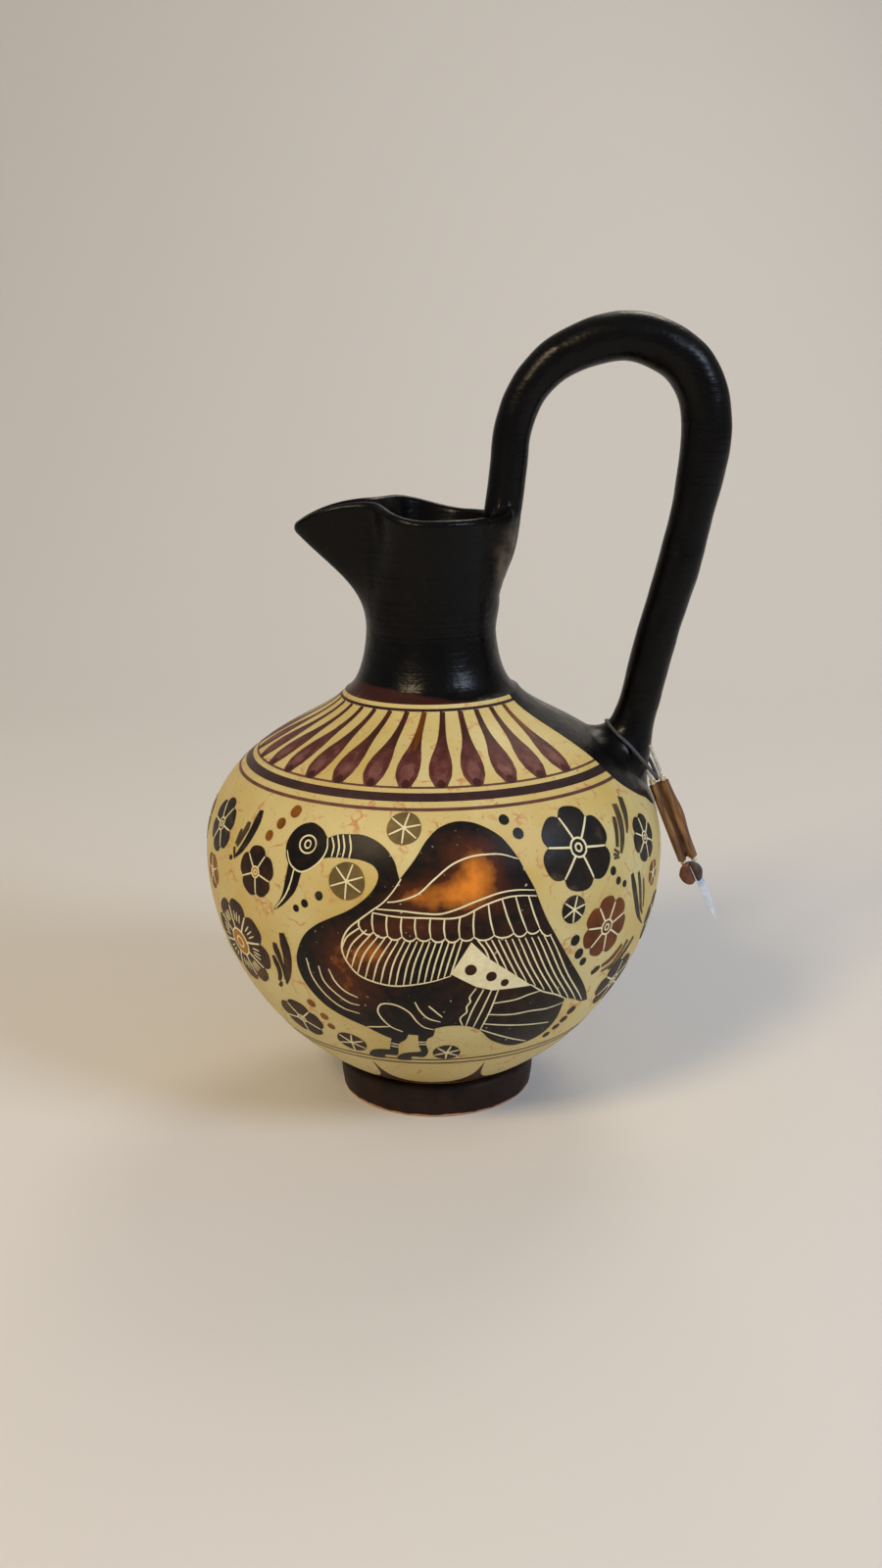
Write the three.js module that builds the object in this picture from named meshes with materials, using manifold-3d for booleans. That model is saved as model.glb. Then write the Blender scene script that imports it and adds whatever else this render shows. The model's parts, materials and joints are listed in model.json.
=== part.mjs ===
// A beaked wine jug of fired clay: a turned foot, a round belly, a neck drawn out into a spout
// and a high round handle, with a little rolled paper tag tied to the foot of the handle.
// Millimetres, +Z up. The jug's own axis is Z, its foot stands on Z = 0,
// the spout points to -X and the handle to +X.
import * as THREE from "three";
import { mergeVertices } from "three/addons/utils/BufferGeometryUtils.js";
import Module from "manifold-3d";

// Joints between pieces
const SEAT_GAP = 0.3; // clear of the neighbour that a piece is luted or laid on

// Foot
const FOOT_HEIGHT = 9;
const FOOT_BASE_RADIUS = 26.6;
const FOOT_TOP_RADIUS = 27.2;
const FOOT_EDGE = 0.8; // wiped edge round the base
const FOOT_ROUND = 1.4; // rounding under the belly

// Body
const BODY_SEAT_RADIUS = 25.2; // where the belly stands on the foot
const BODY_WALL = 4.2;
const BODY_FLOOR = 6;
const BELLY_RADIUS = 62;
const BELLY_LIFT = 60.5; // of the widest ring above the seat
const SHOULDER_RADIUS = 23.2; // of the ring that the neck stands on
const SHOULDER_LIFT = 43.7; // of that ring above the widest one
const BELLY_RISE = 22; // length of the curve's handle out of the seat
const BELLY_RISE_ANGLE = 0.5; // of the wall above the seat, in radians from level
const BELLY_FULLNESS = 26.6; // how far the wall stays upright below the widest ring
const SHOULDER_FULLNESS = 30.3; // and above it
const SHOULDER_FALL = 11.7; // length of the curve's handle into the neck ring
const SHOULDER_ANGLE = 0.96; // of the wall at the neck ring, in radians from level

// Neck and mouth
const NECK_WALL = 3.2;
const WAIST_RADIUS = 17.2;
const WAIST_LIFT = 16.8; // of the waist above the neck ring
const NECK_SWEEP = 4.8; // length of the curve's handle out of the neck ring
const NECK_SWEEP_ANGLE = 0.42; // of the neck at the ring, in radians from level
const WAIST_FULLNESS = 10.5; // how far the neck stays upright over the waist
const RIM_RADIUS = 20;
const RIM_LIFT = 29.1; // of the lip's top at the back above the waist
const CREST_LIFT = 4; // of the lip's top beside the spout above the back
const RIM_FALL_START = 0.68; // the lip falls from the crest to the back between these angles
const RIM_FALL_END = 1.83;
const RIM_SKEW = 0.3; // by which it falls sooner on the painted front and later behind
const RIM_SLOPE = 1.36; // of the wall below the lip, in radians from level
const RIM_REACH = 9; // length of the curve's handle below the lip
const LIP_WALL = 2.6;
const LIP_HEIGHT = 1.5; // of the rounded edge
const LIP_TIP_HEIGHT = 2.7; // of the same at the spout's tip
const SPOUT_REACH = 35.4;
const SPOUT_TIP_DROP = 5.6; // below the crest
const SPOUT_ANGLE = 0.26; // half angle of the spout, in radians
const SPOUT_TIP_ANGLE = 0.166; // half angle of the dip at its tip
const SPOUT_SLOPE = 0.82;
const SPOUT_CURVE = 12.9; // length of the curve's handle below the spout's tip
const PINCH_DEPTH = 2.6; // how far the rim is pressed in beside the spout
const PINCH_PLACE = 0.6; // its angle from the spout
const PINCH_SPREAD = 0.4;

// Handle
const HANDLE_LIFT = 50.8; // of its top above the back of the lip
const HANDLE_REACH = 78; // of its outermost point from the axis
const HANDLE_RIM_RADIUS = 4.9; // of the round section at the mouth
const HANDLE_SUNK = 4.2; // of its middle line inside the neck's waist, where it starts
const HANDLE_CROWN_RADIUS = 6.5;
const HANDLE_LEG_RADIUS = 5.5;
const HANDLE_ROOT_RADIUS = 8; // of the flare inside the shoulder
const HANDLE_ROOT_DROP = 19.7; // of its lower end below the neck ring
const HANDLE_STEPS = 46;
const HANDLE_SIDES = 20;

// Tag
const TAG_SIDE = 8.6; // in front of the plane of the handle
const TAG_HITCH_DROP = 24.2; // of the cord's hitch below the neck ring
const TAG_LEAN = 0.376; // of the rolls away from upright, in radians
const TAG_CLEAR = 0.7; // between the inner roll and the belly that it leans on
const CORD_RADIUS = 0.5;
const CORD_HIGH = 13.1; // along the handle, from its lower end up to the cord inside it
const CORD_LOW = 6.1; // and up to the cord outside it
const CORD_TURNS = [0.55, 1, 1.57, 2.2, 2.8, -2.8, -2.2, -1.57]; // round the handle from its outside
const CORD_SLACK = 3.4; // of the cord behind the rods
const CORD_BEFORE = 2.7; // of the cord in front of them, clear of the swinging rods
const CORD_STEPS = 44;
const CORD_SIDES = 8;
const ROD_RADIUS = 0.45;
const ROD_SPACING = 2.9; // between the two rods
const ROD_KNOB_RADIUS = 0.8;
const ROD_ABOVE = 9.5; // of the outer rod above the hitch
const ROD_STEP = 6.2; // by which the inner rod is shorter there
const ROLL_START = 1.2; // of the rolls below the hitch
const ROLL_LENGTH = 22.8;
const PAPER = 0.2;
const PAPER_PITCH = 0.3; // from turn to turn
const INNER_TURNS = 1.3;
const OUTER_TURNS = 1.6;
const SEAL_RADIUS = 2.9;
const SEAL_THICKNESS = 1.6;
const SEAL_DROP = 3.5; // of its middle below the rolls' lower ends
const SEAL_ASIDE = 0.6; // of its middle towards the belly
const RIBBON_WIDTH = 2.45;
const RIBBON_LENGTH = 19.2;
const RIBBON_THICKNESS = 0.4;
const RIBBON_POINT = 7.6; // length of its slanted end

// Facets
const TURNED_SEGMENTS = 56;
const CURVE_STEPS = 12;
const MOUTH_SEGMENTS = 60;
const MOUTH_CROWDING = 0.68; // how much the segments crowd round the spout
const SMALL_SEGMENTS = 14;
const ROLL_STEPS = 18; // in each turn of the paper

const wasm = await Module();
wasm.setup();

const point = (x, y) => new THREE.Vector2(x, y);
const along = (x, y, length, angle) => point(x + length * Math.cos(angle), y + length * Math.sin(angle));
const mix = THREE.MathUtils.lerp;

function piece(name, geometry, color, roughness, metalness = 0) {
  const material = new THREE.MeshStandardMaterial({ color, roughness, metalness });
  const mesh = new THREE.Mesh(geometry, material);
  mesh.name = name;
  return mesh;
}

function turned(profile, segments = TURNED_SEGMENTS) {
  return new THREE.LatheGeometry(profile, segments).rotateX(Math.PI / 2);
}

// A skin over rings of points that run anticlockwise round the way from the first ring to the last.
// A hollow one closes from its last ring back to its first, and a solid one is capped at both ends.
function loft(rings, hollow) {
  const count = rings[0].length;
  const positions = rings.flat().flatMap((p) => p.toArray());
  const index = [];
  const spans = hollow ? rings.length : rings.length - 1;
  for (let i = 0; i < spans; i++) {
    for (let j = 0; j < count; j++) {
      const a = i * count + j;
      const b = i * count + ((j + 1) % count);
      const c = ((i + 1) % rings.length) * count + ((j + 1) % count);
      const d = ((i + 1) % rings.length) * count + j;
      index.push(a, b, c, a, c, d);
    }
  }
  if (!hollow) {
    const first = rings[0];
    const last = rings[rings.length - 1];
    const start = positions.length / 3;
    const end = start + 1;
    for (const ring of [first, last]) {
      const middle = ring.reduce((sum, p) => sum.add(p), new THREE.Vector3()).divideScalar(count);
      positions.push(...middle.toArray());
    }
    const base = (rings.length - 1) * count;
    for (let j = 0; j < count; j++) {
      index.push(start, (j + 1) % count, j);
      index.push(end, base + j, base + ((j + 1) % count));
    }
  }
  return new THREE.BufferGeometry()
    .setAttribute("position", new THREE.Float32BufferAttribute(positions, 3))
    .setIndex(index);
}

function solid(geometry) {
  const bare = geometry.clone();
  bare.deleteAttribute("normal");
  bare.deleteAttribute("uv");
  const merged = mergeVertices(bare);
  const vertProperties = new Float32Array(merged.attributes.position.array);
  const triVerts = new Uint32Array(merged.index.array);
  return new wasm.Manifold(new wasm.Mesh({ numProp: 3, vertProperties, triVerts }));
}

function surface(body) {
  const mesh = body.getMesh();
  return new THREE.BufferGeometry()
    .setAttribute("position", new THREE.BufferAttribute(mesh.vertProperties, 3))
    .setIndex(new THREE.BufferAttribute(mesh.triVerts, 1));
}

// The belly's outer line, from its seat on the foot to the neck ring.
const bodyBase = FOOT_HEIGHT + SEAT_GAP;
const bellyHeight = bodyBase + BELLY_LIFT;
const shoulderHeight = bellyHeight + SHOULDER_LIFT;
const lowerWall = new THREE.CubicBezierCurve(
  point(BODY_SEAT_RADIUS, bodyBase),
  along(BODY_SEAT_RADIUS, bodyBase, BELLY_RISE, BELLY_RISE_ANGLE),
  point(BELLY_RADIUS, bellyHeight - BELLY_FULLNESS),
  point(BELLY_RADIUS, bellyHeight),
);
const upperWall = new THREE.CubicBezierCurve(
  point(BELLY_RADIUS, bellyHeight),
  point(BELLY_RADIUS, bellyHeight + SHOULDER_FULLNESS),
  along(SHOULDER_RADIUS, shoulderHeight, SHOULDER_FALL, -SHOULDER_ANGLE),
  point(SHOULDER_RADIUS, shoulderHeight),
);

// The wall's line moved along its own normal, outwards for a positive distance.
function offsetWall(distance) {
  const line = [];
  for (const curve of [lowerWall, upperWall]) {
    for (let i = curve === lowerWall ? 0 : 1; i <= CURVE_STEPS; i++) {
      const at = curve.getPoint(i / CURVE_STEPS);
      const way = curve.getTangent(i / CURVE_STEPS);
      line.push(point(at.x + way.y * distance, at.y - way.x * distance));
    }
  }
  return line;
}

function shoulderRadius(height) {
  const line = offsetWall(0);
  const next = line.findIndex((p) => p.y >= height);
  const low = line[next - 1];
  const high = line[next];
  return mix(low.x, high.x, (height - low.y) / (high.y - low.y));
}

function makeFoot() {
  const profile = [
    point(0, 0),
    point(FOOT_BASE_RADIUS - FOOT_EDGE, 0),
    point(FOOT_BASE_RADIUS, FOOT_EDGE),
    point(FOOT_TOP_RADIUS, FOOT_HEIGHT / 2),
    point(FOOT_TOP_RADIUS, FOOT_HEIGHT - FOOT_ROUND),
    along(FOOT_TOP_RADIUS - FOOT_ROUND, FOOT_HEIGHT - FOOT_ROUND, FOOT_ROUND, Math.PI / 4),
    point(FOOT_TOP_RADIUS - FOOT_ROUND, FOOT_HEIGHT),
    point(0, FOOT_HEIGHT),
  ];
  return turned(profile);
}

function makeBody() {
  const floor = bodyBase + BODY_FLOOR;
  const outside = offsetWall(0);
  const throat = SHOULDER_RADIUS - NECK_WALL;
  const clear = BODY_WALL / 4; // of the inner wall's points from the floor and the throat
  const inside = offsetWall(-BODY_WALL).filter((p) => p.y > floor + clear && p.x > throat + clear);
  const profile = [
    point(0, bodyBase),
    ...outside,
    point(throat, shoulderHeight),
    ...inside.reverse(),
    point(BODY_SEAT_RADIUS - BODY_WALL / 2, floor),
    point(0, floor),
  ];
  return turned(profile);
}

const neckBase = shoulderHeight + SEAT_GAP;
const waistHeight = shoulderHeight + WAIST_LIFT;
const rimHeight = waistHeight + RIM_LIFT;

// The lip's outer radius and its top, at an angle from the spout.
function rimRadius(angle) {
  const spout = (SPOUT_REACH - RIM_RADIUS) * Math.exp(-((angle / SPOUT_ANGLE) ** 2));
  const pinch = PINCH_DEPTH * Math.exp(-(((Math.abs(angle) - PINCH_PLACE) / PINCH_SPREAD) ** 2));
  const tipPinch = PINCH_DEPTH * Math.exp(-((PINCH_PLACE / PINCH_SPREAD) ** 2));
  return RIM_RADIUS + spout - pinch + tipPinch * Math.exp(-((angle / SPOUT_ANGLE) ** 2));
}

function rimTop(angle) {
  const fall = THREE.MathUtils.smoothstep(Math.abs(angle + RIM_SKEW), RIM_FALL_START, RIM_FALL_END);
  const dip = SPOUT_TIP_DROP * Math.exp(-((angle / SPOUT_TIP_ANGLE) ** 2));
  return rimHeight + mix(CREST_LIFT, 0, fall) - dip;
}

// The lip's wall measured along the radius, so that it keeps its thickness on the spout's flanks.
function lipDepth(angle) {
  const step = 0.01;
  const rate = (rimRadius(angle + step) - rimRadius(angle - step)) / (2 * step);
  return LIP_WALL * Math.hypot(1, rate / rimRadius(angle));
}

// How far the rim has gone from its plain round to the spout's tip, and the lip's height there.
function spoutShare(angle) {
  return THREE.MathUtils.clamp((rimRadius(angle) - RIM_RADIUS) / (SPOUT_REACH - RIM_RADIUS), 0, 1);
}

function lipHeight(angle) {
  return mix(LIP_HEIGHT, LIP_TIP_HEIGHT, spoutShare(angle));
}

// The neck's outer line at an angle from the spout, as radius and height.
function neckLine(angle) {
  const foot = new THREE.CubicBezierCurve(
    point(SHOULDER_RADIUS, neckBase),
    along(SHOULDER_RADIUS, neckBase, NECK_SWEEP, Math.PI - NECK_SWEEP_ANGLE),
    point(WAIST_RADIUS, waistHeight - NECK_SWEEP),
    point(WAIST_RADIUS, waistHeight),
  );
  const reach = rimRadius(angle);
  const edge = rimTop(angle) - lipHeight(angle);
  const flare = spoutShare(angle);
  const slope = mix(RIM_SLOPE, SPOUT_SLOPE, flare);
  const pull = mix(RIM_REACH, SPOUT_CURVE, flare);
  const throat = new THREE.CubicBezierCurve(
    point(WAIST_RADIUS, waistHeight),
    point(WAIST_RADIUS, waistHeight + WAIST_FULLNESS),
    along(reach, edge, -pull, slope),
    point(reach, edge),
  );
  return [...foot.getPoints(5), ...throat.getPoints(9).slice(1)];
}

const mouthAngles = Array.from({ length: MOUTH_SEGMENTS }, (_, j) => {
  const even = -Math.PI + (2 * Math.PI * j) / MOUTH_SEGMENTS;
  return even - MOUTH_CROWDING * Math.sin(even);
});
const around = (angle, radius, height) =>
  new THREE.Vector3(-radius * Math.cos(angle), -radius * Math.sin(angle), height);

// The rounded lip over the wall's edge at an angle, from outside to inside, grown by a margin.
function lipLine(angle, edge, margin) {
  return [1, 2, 3].map((k) => {
    const turn = (Math.PI * k) / 4;
    const inwards = (lipDepth(angle) / 2) * (1 - Math.cos(turn)) - margin * Math.cos(turn);
    return point(edge.x - inwards, edge.y + (lipHeight(angle) + margin) * Math.sin(turn));
  });
}

function mouthRings(columnAt) {
  const columns = mouthAngles.map((angle) => columnAt(angle).map((p) => around(angle, p.x, p.y)));
  return columns[0].map((_, i) => columns.map((column) => column[i]));
}

function makeNeck() {
  const rings = mouthRings((angle) => {
    const outside = neckLine(angle);
    const depth = lipDepth(angle);
    const last = outside.length - 1;
    const inside = outside.map((p, i) => point(p.x - mix(NECK_WALL, depth, (i / last) ** 2), p.y));
    return [...outside, ...lipLine(angle, outside[last], 0), ...inside.reverse()];
  });
  return loft(rings, true);
}

// The room that the neck takes up, filled and a little larger, for cutting the handle to it.
function neckRoom() {
  const rings = mouthRings((angle) => {
    const outside = neckLine(angle);
    const lip = lipLine(angle, outside[outside.length - 1], SEAT_GAP);
    return [...outside.map((p) => point(p.x + SEAT_GAP, p.y)), ...lip];
  });
  return loft(rings, false);
}

function bodyRoom() {
  const line = offsetWall(SEAT_GAP);
  const top = line[line.length - 1];
  return turned([point(0, line[0].y), ...line, point(0, top.y)]);
}

// The handle's middle line in the XZ plane, from the back of the neck over the crown to the shoulder.
// Its points are shares of the ways from waist to lip, from lip to crown, across and down to the root.
const crown = rimHeight + HANDLE_LIFT - HANDLE_CROWN_RADIUS;
const outer = HANDLE_REACH - mix(HANDLE_CROWN_RADIUS, HANDLE_LEG_RADIUS, 0.4);
const rootHeight = shoulderHeight - HANDLE_ROOT_DROP;
const rootReach = shoulderRadius(rootHeight);
const climb = (share) => mix(waistHeight, rimHeight, share);
const rise = (share) => mix(rimHeight, crown, share);
const across = (share) => mix(RIM_RADIUS, outer, share);
const fall = (share) => mix(crown, rootHeight, share);
const inwards = (share) => mix(outer, rootReach, share);
const handleLine = new THREE.CatmullRomCurve3(
  [
    [WAIST_RADIUS - HANDLE_SUNK, climb(0.35)],
    [RIM_RADIUS - HANDLE_RIM_RADIUS / 2, climb(0.7)],
    [across(-0.012), rise(0.045)],
    [across(0.014), rise(0.266)],
    [across(0.037), rise(0.49)],
    [across(0.112), rise(0.707)],
    [across(0.28), rise(0.896)],
    [across(0.6), crown],
    [across(0.85), fall(0.046)],
    [across(0.954), fall(0.109)],
    [outer, fall(0.206)],
    [inwards(0.24), fall(0.47)],
    [inwards(0.66), fall(0.748)],
    [inwards(0.805), fall(0.862)],
    [inwards(0.885), fall(0.913)],
    [inwards(0.985), fall(0.973)],
    [inwards(1.11), fall(1.045)],
  ].map(([x, z]) => new THREE.Vector3(x, 0, z)),
);

// The section's radius at shares of the handle's length, eased from one to the next.
const handleRadii = [
  [0, HANDLE_RIM_RADIUS],
  [0.2, HANDLE_RIM_RADIUS],
  [0.45, HANDLE_CROWN_RADIUS],
  [0.53, HANDLE_CROWN_RADIUS],
  [0.72, HANDLE_LEG_RADIUS],
  [0.905, HANDLE_LEG_RADIUS],
  [1, HANDLE_ROOT_RADIUS],
];

function handleRadius(share) {
  const next = Math.max(1, handleRadii.findIndex(([place]) => place >= share));
  const [from, thin] = handleRadii[next - 1];
  const [to, thick] = handleRadii[next];
  return mix(thin, thick, THREE.MathUtils.smoothstep(share, from, to));
}

function makeHandle() {
  const rings = [];
  for (let i = 0; i <= HANDLE_STEPS; i++) {
    const share = i / HANDLE_STEPS;
    const middle = handleLine.getPointAt(share);
    const way = handleLine.getTangentAt(share);
    const out = new THREE.Vector3(way.z, 0, -way.x);
    const radius = handleRadius(share);
    rings.push(
      Array.from({ length: HANDLE_SIDES }, (_, j) => {
        const turn = (2 * Math.PI * j) / HANDLE_SIDES;
        const side = new THREE.Vector3(0, radius * Math.sin(turn), 0);
        return side.addScaledVector(out, radius * Math.cos(turn)).add(middle);
      }),
    );
  }
  const cut = solid(loft(rings, false)).subtract(solid(neckRoom())).subtract(solid(bodyRoom()));
  return surface(cut);
}

// How far out the leaning tag is pushed by the belly behind it, at the height of the hitch.
function tagReach() {
  const bottom = hitchHeight - (ROLL_START + ROLL_LENGTH) * Math.cos(TAG_LEAN);
  const pushes = Array.from({ length: CURVE_STEPS + 1 }, (_, i) => {
    const height = mix(hitchHeight, bottom, i / CURVE_STEPS);
    const wall = Math.sqrt(shoulderRadius(height) ** 2 - TAG_SIDE ** 2);
    return wall - (hitchHeight - height) * Math.tan(TAG_LEAN);
  });
  return Math.max(...pushes);
}

// The hitch is the middle of the gap between the two rods, where the cord passes through.
const hitchHeight = shoulderHeight - TAG_HITCH_DROP;
const innerRollRadius = ROD_RADIUS + SEAT_GAP / 2 + PAPER_PITCH * INNER_TURNS + PAPER;
const hitchReach = tagReach() + (TAG_CLEAR + innerRollRadius + ROD_SPACING / 2) / Math.cos(TAG_LEAN);
const hitch = new THREE.Vector3(hitchReach, -TAG_SIDE, hitchHeight);

// A point on the handle at a share of its length, turned from its outer side and lifted off its skin.
function handlePoint(share, turn, lift) {
  const way = handleLine.getTangentAt(share);
  const reach = handleRadius(share) + lift;
  const out = new THREE.Vector3(way.z, 0, -way.x).multiplyScalar(-reach * Math.cos(turn));
  out.y = reach * Math.sin(turn);
  return out.add(handleLine.getPointAt(share));
}

// The cord lies slanting round the handle's foot, passes in between the two rods and returns behind.
function makeCord() {
  const lift = CORD_RADIUS + SEAT_GAP;
  const wraps = CORD_TURNS.map((turn) => {
    const above = mix(CORD_HIGH, CORD_LOW, (1 + Math.cos(turn)) / 2);
    return handlePoint(1 - above / handleLine.getLength(), turn, lift);
  });
  const through = [
    [CORD_RADIUS - ROD_SPACING / 2, -CORD_BEFORE, 2 * lift],
    [0, 0, 0],
    [CORD_RADIUS / 2, CORD_SLACK, CORD_RADIUS],
  ].map(([x, y, z]) => new THREE.Vector3(x, y, z).add(hitch));
  const route = new THREE.CatmullRomCurve3([...wraps, ...through], true);
  const frames = route.computeFrenetFrames(CORD_STEPS, true);
  const rings = [];
  for (let i = 0; i < CORD_STEPS; i++) {
    const middle = route.getPointAt(i / CORD_STEPS);
    rings.push(
      Array.from({ length: CORD_SIDES }, (_, j) => {
        const turn = (2 * Math.PI * j) / CORD_SIDES;
        const across = frames.normals[i].clone().multiplyScalar(CORD_RADIUS * Math.cos(turn));
        return across.addScaledVector(frames.binormals[i], CORD_RADIUS * Math.sin(turn)).add(middle);
      }),
    );
  }
  return loft(rings, true);
}

// The tag's own frame: its middle is the hitch, its rolls hang along -Z and the inner rod is at -X.
function makeRod(above) {
  const below = ROLL_START + ROLL_LENGTH + SEAT_GAP;
  const profile = [
    point(0, -below - ROD_KNOB_RADIUS * 1.6),
    point(ROD_KNOB_RADIUS * 0.7, -below - ROD_KNOB_RADIUS * 1.4),
    point(ROD_KNOB_RADIUS, -below - ROD_KNOB_RADIUS * 0.7),
    point(ROD_RADIUS, -below),
    point(ROD_RADIUS, above - ROD_RADIUS / 2),
    point(ROD_RADIUS / 2, above),
    point(0, above),
  ];
  return turned(profile, SMALL_SEGMENTS);
}

// One sheet of paper, rolled up from both ends on the two rods and straight between them.
function makeSheet() {
  const start = ROD_RADIUS + SEAT_GAP / 2 + PAPER / 2;
  const wind = (centre, turns, direction) => {
    const count = Math.round(turns * ROLL_STEPS);
    return Array.from({ length: count + 1 }, (_, i) => {
      const angle = direction * ((2 * Math.PI * i) / ROLL_STEPS) - Math.PI / 2;
      const radius = start + PAPER_PITCH * (turns - i / ROLL_STEPS);
      return point(centre + radius * Math.cos(angle), -radius * Math.sin(angle));
    });
  };
  const left = wind(-ROD_SPACING / 2, INNER_TURNS, -1).reverse();
  const right = wind(ROD_SPACING / 2, OUTER_TURNS, 1);
  const middleLine = [...left, ...right];
  const sides = [1, -1].map((side) =>
    middleLine.map((p, i) => {
      const before = middleLine[Math.max(0, i - 1)];
      const after = middleLine[Math.min(middleLine.length - 1, i + 1)];
      const way = after.clone().sub(before).normalize();
      return point(p.x - side * way.y * (PAPER / 2), p.y + side * way.x * (PAPER / 2));
    }),
  );
  const outline = new THREE.Shape([...sides[0], ...sides[1].reverse()]);
  const roll = new THREE.ExtrudeGeometry(outline, { depth: ROLL_LENGTH, bevelEnabled: false });
  return roll.translate(0, 0, -ROLL_START - ROLL_LENGTH);
}

const rollsEnd = -ROLL_START - ROLL_LENGTH;
const ribbonFace = -ROD_KNOB_RADIUS - SEAT_GAP;
const sealFace = ribbonFace - RIBBON_THICKNESS - SEAT_GAP;

// A pressed drop of wax, flat behind and domed in front.
function makeSeal() {
  const profile = [
    point(0, 0),
    point(SEAL_RADIUS * 0.9, 0),
    point(SEAL_RADIUS, SEAL_THICKNESS * 0.35),
    point(SEAL_RADIUS * 0.92, SEAL_THICKNESS * 0.75),
    point(SEAL_RADIUS * 0.66, SEAL_THICKNESS),
    point(0, SEAL_THICKNESS * 0.86),
  ];
  const drop = new THREE.LatheGeometry(profile, 2 * SMALL_SEGMENTS).rotateX(Math.PI);
  return drop.translate(-SEAL_ASIDE, sealFace, rollsEnd - SEAL_DROP);
}

// A pointed strip, whose upper end is hidden by one half of the seal.
function makeRibbon() {
  const top = rollsEnd - SEAL_DROP + SEAL_RADIUS * 0.85;
  const end = top - RIBBON_LENGTH;
  const outline = new THREE.Shape([
    point(-RIBBON_WIDTH * 0.14, top),
    point(RIBBON_WIDTH * 0.04, end + RIBBON_POINT * 0.83),
    point(RIBBON_WIDTH * 0.46, end),
    point(RIBBON_WIDTH * 0.86, end + RIBBON_POINT),
    point(RIBBON_WIDTH * 0.8, top - SEAL_RADIUS / 2),
    point(RIBBON_WIDTH * 0.35, top),
  ]);
  const strip = new THREE.ExtrudeGeometry(outline, { depth: RIBBON_THICKNESS, bevelEnabled: false });
  return strip.rotateX(Math.PI / 2).translate(0, ribbonFace, 0);
}

const jug = new THREE.Group();
jug.add(piece("foot", makeFoot(), 0x2a1c18, 0.6));
jug.add(piece("body", makeBody(), 0xd8bf7c, 0.55));
jug.add(piece("neck_and_mouth", makeNeck(), 0x16130f, 0.4));
jug.add(piece("handle", makeHandle(), 0x16130f, 0.4));
jug.add(piece("tag_cord", makeCord(), 0x2b2b2e, 0.7));

const tag = new THREE.Group();
tag.position.copy(hitch);
tag.rotation.y = -TAG_LEAN;
tag.add(piece("tag_scroll", makeSheet(), 0x7a5233, 0.75));
tag.add(piece("tag_rod_inner", makeRod(ROD_ABOVE - ROD_STEP), 0xc9c6bd, 0.35, 0.8));
tag.add(piece("tag_rod_outer", makeRod(ROD_ABOVE), 0xc9c6bd, 0.35, 0.8));
tag.add(piece("tag_seal", makeSeal(), 0x5a2a20, 0.45));
tag.add(piece("tag_ribbon", makeRibbon(), 0xe6e9f0, 0.8));
tag.getObjectByName("tag_rod_inner").position.x = -ROD_SPACING / 2;
tag.getObjectByName("tag_rod_outer").position.x = ROD_SPACING / 2;
jug.add(tag);

export default jug;
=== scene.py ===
"""Painted beaked wine jug with a rolled paper tag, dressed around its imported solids."""

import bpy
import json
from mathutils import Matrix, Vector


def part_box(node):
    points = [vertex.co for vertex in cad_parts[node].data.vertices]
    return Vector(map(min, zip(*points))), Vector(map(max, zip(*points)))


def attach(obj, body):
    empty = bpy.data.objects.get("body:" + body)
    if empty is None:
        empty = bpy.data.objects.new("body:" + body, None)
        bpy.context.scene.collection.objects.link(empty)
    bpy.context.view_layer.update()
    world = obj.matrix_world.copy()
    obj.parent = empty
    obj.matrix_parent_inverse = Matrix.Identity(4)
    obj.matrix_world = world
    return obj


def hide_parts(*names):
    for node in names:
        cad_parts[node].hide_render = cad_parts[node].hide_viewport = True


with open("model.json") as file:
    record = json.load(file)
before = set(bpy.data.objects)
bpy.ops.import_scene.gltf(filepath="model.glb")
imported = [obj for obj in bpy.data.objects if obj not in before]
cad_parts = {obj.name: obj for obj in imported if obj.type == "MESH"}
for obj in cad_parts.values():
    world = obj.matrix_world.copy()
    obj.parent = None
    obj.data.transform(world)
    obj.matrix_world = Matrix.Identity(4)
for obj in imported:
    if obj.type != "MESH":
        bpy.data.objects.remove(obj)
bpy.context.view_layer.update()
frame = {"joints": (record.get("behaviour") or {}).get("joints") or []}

import json
import logging
import math
from collections.abc import Callable, Sequence
from dataclasses import dataclass
from enum import Enum

import bmesh
import bpy
from bmesh.types import BMEdge, BMesh, BMVert
from bpy.types import Material, NodeSocket
from mathutils import Euler, Matrix, Vector, noise
from mathutils.bvhtree import BVHTree
from mathutils.kdtree import KDTree

LOG = logging.getLogger("jug")
MM = 0.001
JUG_BODY = "jug"
TAG_BODY = "tag"
Flat = Sequence[float]
Links = dict[str | int, object]


def spline(points: Sequence[Flat], step: float, closed: bool = False) -> list[Vector]:
    """Draws a centripetal curve through points.

    Args:
        points: The points that the curve passes through, flat or in space.
        step: The longest distance between samples.
        closed: Whether the curve returns to its first point.

    Returns:
        The samples, without a second copy of the first point on a closed curve.
    """
    knots = [Vector(point) for point in points]
    count = len(knots)
    line: list[Vector] = []
    for i in range(count if closed else count - 1):
        start, end = knots[i], knots[(i + 1) % count]
        before = knots[i - 1] if closed or i else start * 2 - end
        after = knots[(i + 2) % count] if closed or i + 2 < count else end * 2 - start
        pairs = ((before, start), (start, end), (end, after))
        d0, d1, d2 = (math.sqrt(max((b - a).length, 1e-6)) for a, b in pairs)
        leave = ((start - before) / d0 - (end - before) / (d0 + d1) + (end - start) / d1) * d1
        arrive = ((end - start) / d1 - (after - start) / (d1 + d2) + (after - end) / d2) * d1
        steps = max(1, math.ceil((end - start).length / step))
        for k in range(steps):
            t = k / steps
            u = 1 - t
            line.append(
                start * (u * u * (1 + 2 * t)) + leave * (u * u * t)
                + end * (t * t * (1 + 2 * u)) - arrive * (t * t * u)
            )
    if not closed:
        line.append(knots[-1])
    return line


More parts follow.
